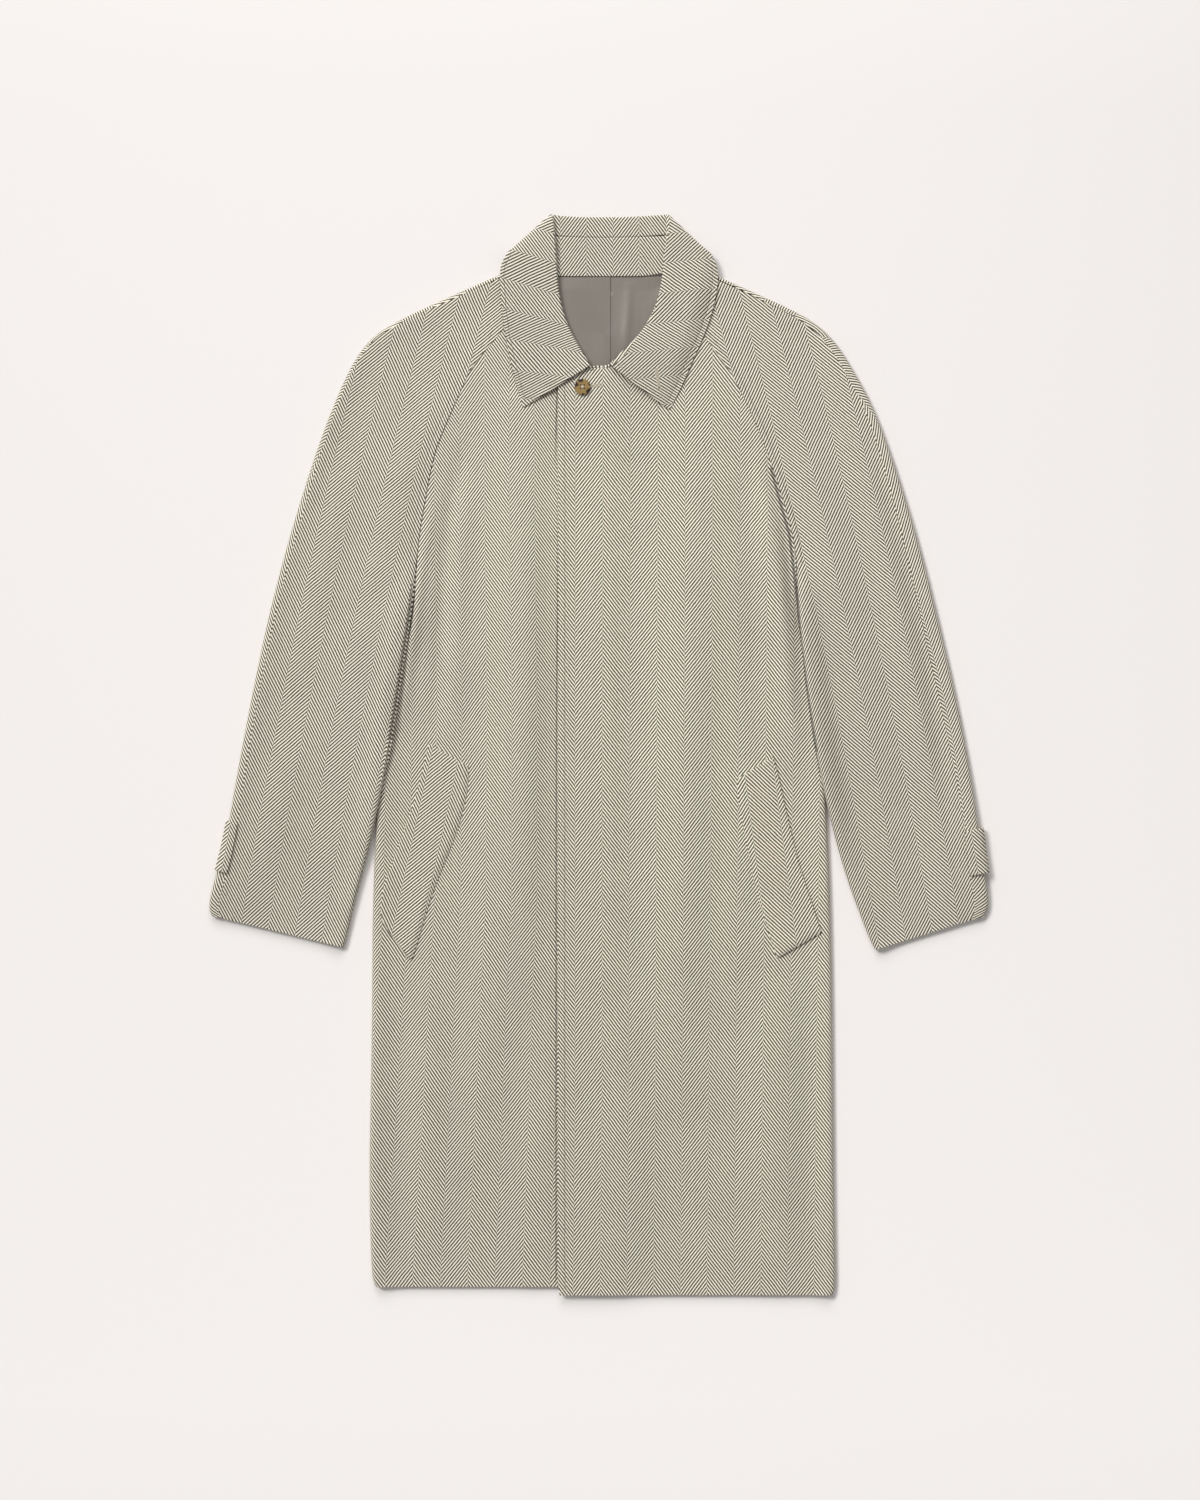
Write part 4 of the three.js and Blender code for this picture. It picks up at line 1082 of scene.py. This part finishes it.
# %% Lining shell
PLEAT = {"x": 12.8, "step": -0.5, "rise_left": 1.6, "rise_right": -1.4, "rise_width": 42}
LINING_FOLDS = [
    {"path": [(32, 512), (31, 470), (27, 430)], "width": 5, "height": 1.3},
    {"path": [(-30, 500), (-22, 460), (-8, 420)], "width": 7, "height": 0.35},
    {"path": [(52, 505), (46, 470), (36, 440)], "width": 6, "height": -0.3},
]

lining, lining_rim = doubled("back_lining", 4)
points = points_of(lining)
over = 1 / (1 + np.exp((points[:, 0] - PLEAT["x"]) / 0.35))
out = np.abs(points[:, 0] - PLEAT["x"])
inside = np.clip(distance_to(points, lining_rim) / 14, 0, 1)
rise = np.where(points[:, 0] < PLEAT["x"], PLEAT["rise_left"], PLEAT["rise_right"])
raised = np.clip(out / PLEAT["rise_width"], 0, 1) * rise
points[:, 2] += PLEAT["step"] * over * inside + raised * inside
set_points(lining, points)
mark(lining, "line", points[:, 0] - PLEAT["x"])
press_folds(lining, LINING_FOLDS)
finish(lining, "back_lining", satin, "lining")

# %% [markdown]
# ## Button
#
# The neck button is turned from imitation tortoiseshell: amber with dark brown clouds, a raised rim, a
# shallow dish and four holes. Its blank is a cylinder. The top is inset and pushed down for the dish, the
# holes are cut by a boolean, and a bevel rounds every edge.

# %% Tortoiseshell
BUTTON_AT = Vector((-17.6, 397.0, 12.4))
BUTTON_RADIUS = 9.35
AMBER = (0.29, 0.2, 0.07, 1)
CLOUD = (0.03, 0.012, 0.006, 1)
CLOUDS = [
    {"at": (-1.8, 7.4), "size": 4.0},
    {"at": (-7.2, 2.6), "size": 3.6},
    {"at": (6.8, -4.6), "size": 3.8},
    {"at": (0.8, -8.8), "size": 2.8},
    {"at": (8.3, 3.0), "size": 2.6},
]

shell_group = new_group(
    "tortoiseshell",
    [("Place", "NodeSocketVector", None), ("Amber", "NodeSocketColor", AMBER),
     ("Cloud", "NodeSocketColor", CLOUD)],
    [("Color", "NodeSocketColor")],
)
t = Tree(shell_group)
g_in = t.node("NodeGroupInput").outputs
g_out = t.node("NodeGroupOutput").inputs
drift = t.node("ShaderNodeTexNoise", g_in["Place"])
drift.inputs["Scale"].default_value = 420
drift.inputs["Detail"].default_value = 3
pushed = t.node("ShaderNodeVectorMath", drift.outputs["Color"], (2.4 * MM,) * 3, operation="MULTIPLY")
warped = t.node("ShaderNodeVectorMath", g_in["Place"], pushed.outputs[0], operation="ADD").outputs[0]
dark = 0.0
for cloud in CLOUDS:
    middle = (BUTTON_AT + Vector((*cloud["at"], 0)) + Vector((1.2, 1.2, 1.2))) * MM
    away = t.node("ShaderNodeVectorMath", warped, tuple(middle), operation="DISTANCE").outputs["Value"]
    size = cloud["size"] * MM
    dark = t.math("MAXIMUM", dark, t.span(away, 0.55 * size, size, 1.0, 0.0, "SMOOTHSTEP"))
streak = t.span(t.noise(g_in["Place"], 260, 3), 0.35, 0.75, 0.0, 0.45)
amber = t.mix(streak, g_in["Amber"], (0.26, 0.105, 0.03, 1))
t.feed(g_out["Color"], t.mix(dark, amber, g_in["Cloud"]))

button_shell = plain_material("tortoiseshell", AMBER, 0.22)
t = Tree(button_shell.node_tree)
shader = shader_of(button_shell, Coat_Weight=0.5, Coat_Roughness=0.12)
place = t.node("ShaderNodeTexCoord").outputs["Object"]
t.feed(shader.inputs["Base Color"], t.group(shell_group, Place=place)["Color"])

# %% Button shape
BUTTON = {"height": 3.0, "rim": 1.5, "slope": 0.9, "dish": 0.75, "hole": 0.8, "hole_at": 1.8, "round": 0.3}
DRILL_LENGTH = 12


def added(operator, place, **sizes):
    """Adds a primitive at a place in millimetres and gives back its object."""
    nothing_selected()
    operator(location=tuple(Vector(place) * MM), **sizes)
    return bpy.context.object


def settled(piece):
    """Moves an object's place, turn and size into its mesh, so that it rests at the origin."""
    only_selected(piece)
    bpy.ops.object.transform_apply(location=True, rotation=True, scale=True)
    return piece


button = added(bpy.ops.mesh.primitive_cylinder_add, BUTTON_AT, vertices=72,
               radius=BUTTON_RADIUS * MM, depth=BUTTON["height"] * MM)
button.name = "button"
bpy.ops.object.mode_set(mode="OBJECT")
top = max(button.data.polygons, key=lambda face: face.center.z)
for face in button.data.polygons:
    face.select = face == top
button.data.polygons.active = top.index
bpy.ops.object.mode_set(mode="EDIT")
bpy.ops.mesh.select_mode(type="FACE")
bpy.ops.mesh.inset(thickness=BUTTON["rim"] * MM, depth=0)
bpy.ops.mesh.inset(thickness=BUTTON["slope"] * MM, depth=-BUTTON["dish"] * MM)
bpy.ops.object.mode_set(mode="OBJECT")
settled(button)
holes = []
for along_x in (-1, 1):
    for along_y in (-1, 1):
        place = BUTTON_AT + Vector((along_x, along_y, 0)) * BUTTON["hole_at"]
        holes.append(added(bpy.ops.mesh.primitive_cylinder_add, place, vertices=24,
                           radius=BUTTON["hole"] * MM, depth=DRILL_LENGTH * MM))
nothing_selected()
for hole in holes:
    hole.select_set(True)
bpy.context.view_layer.objects.active = holes[0]
bpy.ops.object.join()
drill = bpy.context.object
apply_modifier(button, "BOOLEAN", object=drill, operation="DIFFERENCE", solver="EXACT")
bpy.data.objects.remove(drill)
apply_modifier(button, "BEVEL", width=BUTTON["round"] * MM, segments=3, limit_method="ANGLE",
               angle_limit=math.radians(28))
finish(button, "neck_button", button_shell, "button")
bpy.ops.object.shade_smooth_by_angle(angle=math.radians(35))

# %% [markdown]
# ## Stitches
#
# Every row of stitches is one mesh. A single stitch is a small flattened ball, drawn out along the row, and
# its copies are laid end to end along a path that follows the cloth. The thread is tonal, so at the edges
# the row shows as a line of dimples. Buttonholes are two rows of short stitches laid across a slit.

# %% Stitch maker
STITCH = (2.5, 0.55, 0.42)
STITCH_PITCH = 3.5
STITCH_SINK = 0.1
RIM_CLEAR = 0.25


def unit_stitch():
    """Vertices and faces of a ball of width 1, which every stitch is a stretched copy of."""
    ball = added(bpy.ops.mesh.primitive_uv_sphere_add, (0, 0, 0), segments=6, ring_count=5, radius=0.5)
    points = np.array([vertex.co for vertex in ball.data.vertices])
    faces = [list(face.vertices) for face in ball.data.polygons]
    bpy.data.objects.remove(ball)
    return points, faces


UNIT_POINTS, UNIT_FACES = unit_stitch()


def sew(name, stitches, material):
    """One mesh of stitches. Each has a place, a direction on the table, a length, width and height."""
    points, faces = [], []
    for place, direction, (length, width, height) in stitches:
        run = np.array([direction[0], direction[1], 0.0]) / math.hypot(*direction[:2])
        side = np.array([-run[1], run[0], 0.0])
        shaped = (UNIT_POINTS[:, :1] * length * run + UNIT_POINTS[:, 1:2] * width * side
                  + UNIT_POINTS[:, 2:] * height * np.array([0, 0, 1.0]))
        first = len(points) * len(UNIT_POINTS)
        points.append(shaped + np.array(place))
        faces += [[first + corner for corner in face] for face in UNIT_FACES]
    mesh = bpy.data.meshes.new(name)
    mesh.from_pydata([tuple(point) for point in np.concatenate(points) * MM], [], faces)
    mesh.update()
    row = bpy.data.objects.new(name, mesh)
    bpy.context.scene.collection.objects.link(row)
    finish(row, None, material, "tweed")
    return row


# %% Rows along edges and paths
def resampled(path, pitch):
    """Places and directions at even steps along a path of corners."""
    corners = np.array(path, float)[:, :2]
    lengths = np.hypot(*np.diff(corners, axis=0).T)
    begun = np.concatenate([[0], np.cumsum(lengths)])
    steps = np.arange(pitch / 2, begun[-1], pitch)
    places = np.stack([np.interp(steps, begun, corners[:, k]) for k in (0, 1)], axis=1)
    ahead = np.stack([np.interp(steps + 1.0, begun, corners[:, k]) for k in (0, 1)], axis=1)
    behind = np.stack([np.interp(steps - 1.0, begun, corners[:, k]) for k in (0, 1)], axis=1)
    return places, ahead - behind


def chained(rim):
    """Joins the segments of a rim end to end into paths."""
    def key(point):
        return tuple(int(round(value / 0.2)) for value in point[:2])

    links = {}
    for k, (a, b) in enumerate(rim):
        links.setdefault(key(a), []).append((k, b))
        links.setdefault(key(b), []).append((k, a))
    used, paths = set(), []
    starts = sorted(links, key=lambda corner: len(links[corner]))
    corner_of = {key(point): point for pair in rim for point in pair}
    for start in starts:
        path, at = [corner_of[start]], start
        while True:
            onward = [(k, point) for k, point in links[at] if k not in used]
            if not onward:
                break
            used.add(onward[0][0])
            path.append(onward[0][1])
            at = key(onward[0][1])
        if len(path) > 2:
            paths.append(path)
    return paths


def beside(direction):
    """A step of 1 mm to the left of a direction on the table."""
    return np.array([-direction[1], direction[0]]) / np.hypot(*direction)


def surface_row(piece, path):
    """Stitches along a path, on top of the piece."""
    row = []
    for (x, y), direction in zip(*resampled(path, STITCH_PITCH)):
        height = height_at(piece, x, y)
        if height is not None:
            row.append(((x, y, height - STITCH_SINK), direction, STITCH))
    return row


def inset_row(piece, rim, inset):
    """Stitches inside a rim, at a fixed distance from it."""
    row = []
    for path in chained(rim):
        for place, direction in zip(*resampled(path, STITCH_PITCH)):
            side = beside(direction) * inset
            for spot in (place + side, place - side):
                height = height_at(piece, *spot)
                clear = distance_to(spot[None, :], rim)[0] > inset - RIM_CLEAR
                if height is not None and clear:
                    row.append(((*spot, height - STITCH_SINK), direction, STITCH))
                    break
    return row


thread = plain_material("thread", (0.54, 0.49, 0.39, 1), 0.8)
pale_thread = plain_material("pale_thread", (0.6, 0.53, 0.43, 1), 0.75)
bpy.context.view_layer.update()

edge_row = inset_row(front_right, closure_rim, STITCH_IN)
sew("closure_stitches", edge_row, thread)
fly_path = [(FLY_LINE["x"], FLY_LINE["top"]), (FLY_LINE["x"], FLY_LINE["bottom"] + FLY_LINE["tail"]),
            (FLY_LINE["x"] - FLY_LINE["tail"] * 0.8, FLY_LINE["bottom"])]
sew("fly_stitches", surface_row(front_right, fly_path), thread)
sew("collar_stitches", inset_row(fall, leaf_rim, LEAF_STITCH_IN), thread)

# %% Stitches on the welts
WELT_STITCH_IN = 1.6
MOUTH_FROM = 46


def off_the_mouth(side):
    """A test for the ends and the sewn side of a welt, and not for its free side, the pocket's mouth."""
    def test(x, y):
        return nearest(np.array([x]), np.array([y]), SEWN_SIDE[side])[0][0] < MOUTH_FROM

    return test


for side in ("left", "right"):
    welt = bpy.data.objects[f"welt_{side}_cloth"]
    welt_rim = seen_rim(welt, welt_rims[side], off_the_mouth(side))
    sew(f"welt_stitches_{side}", inset_row(welt, welt_rim, WELT_STITCH_IN), thread)

# %% [markdown]
# The closure buttonhole lies level beside the button, and the one on the right leaf stands nearly upright
# and ends in a small round eyelet, whose hole is a near-black disc of painted shade. Pale threads cross in
# the middle of the button.

# %% Buttonholes and thread of the button
WHIP = (2.0, 0.5, 0.5)
WHIP_PITCH = 0.52
WHIP_LIFT = 0.05
RING_LENGTH = 1.3
EYELET = {"middle": (65.1, 396.6), "radius": 1.75, "count": 16}
HOLES = {
    "closure": {"path": [(-10, 397.9), (3.2, 399.6)], "gap": 0.95},
    "leaf": {"path": [(61.8, 417.4), (65.2, 394.5)], "gap": 1.0},
}


def buttonhole(piece, path, gap):
    """Two rows of short stitches across a slit."""
    row = []
    for place, direction in zip(*resampled(path, WHIP_PITCH)):
        side = beside(direction)
        for way in (-gap, gap):
            spot = place + side * way
            height = height_at(piece, *spot)
            if height is not None:
                row.append(((*spot, height + WHIP_LIFT), side, WHIP))
    return row


def ring(piece, middle, radius, count):
    """A ring of shorter stitches that point outwards, for the eyelet."""
    row = []
    for k in range(count):
        angle = 2 * math.pi * k / count
        out = np.array([math.cos(angle), math.sin(angle)])
        spot = np.array(middle) + out * radius
        row.append(((*spot, height_at(piece, *spot) + WHIP_LIFT), out, (RING_LENGTH, *WHIP[1:])))
    return row


sew("closure_buttonhole", buttonhole(front_right, **HOLES["closure"]), thread)
sew("leaf_buttonhole", buttonhole(fall, **HOLES["leaf"]) + ring(fall, **EYELET), pale_thread)
# the hole of the eyelet is a near-black disc of painted shade
painted_eyelet_shade = plain_material("painted_eyelet_shade", (0.012, 0.011, 0.01, 1), 0.9)
eyelet_top = height_at(fall, *EYELET["middle"]) + 0.12
sew("eyelet", [((*EYELET["middle"], eyelet_top), (0.15, 1), (3.0, 2.1, 0.3))], painted_eyelet_shade)

# three strands each way through the four holes
STRAND = (4.6, 0.55, 0.9)
STRAND_STEP = 0.45

cross = []
dish_top = BUTTON_AT.z + BUTTON["height"] / 2 - BUTTON["dish"]
for slope in (1, -1):
    for k in (-1, 0, 1):
        direction = np.array([1.0, slope])
        spot = np.array(BUTTON_AT[:2]) + beside(direction) * k * STRAND_STEP
        cross.append(((*spot, dish_top + 0.1), direction, STRAND))
sew("button_thread", cross, pale_thread)

# %% Tack on the lining pleat
TACK = {"x": 14.6, "heights": (499.0, 497.9, 496.8), "stitch": (4.2, 0.4, 0.4)}

tack = []
for y in TACK["heights"]:
    tack.append(((TACK["x"], y, height_at(lining, TACK["x"], y) + 0.1), (1, 0.1), TACK["stitch"]))
sew("pleat_tack", tack, pale_thread)
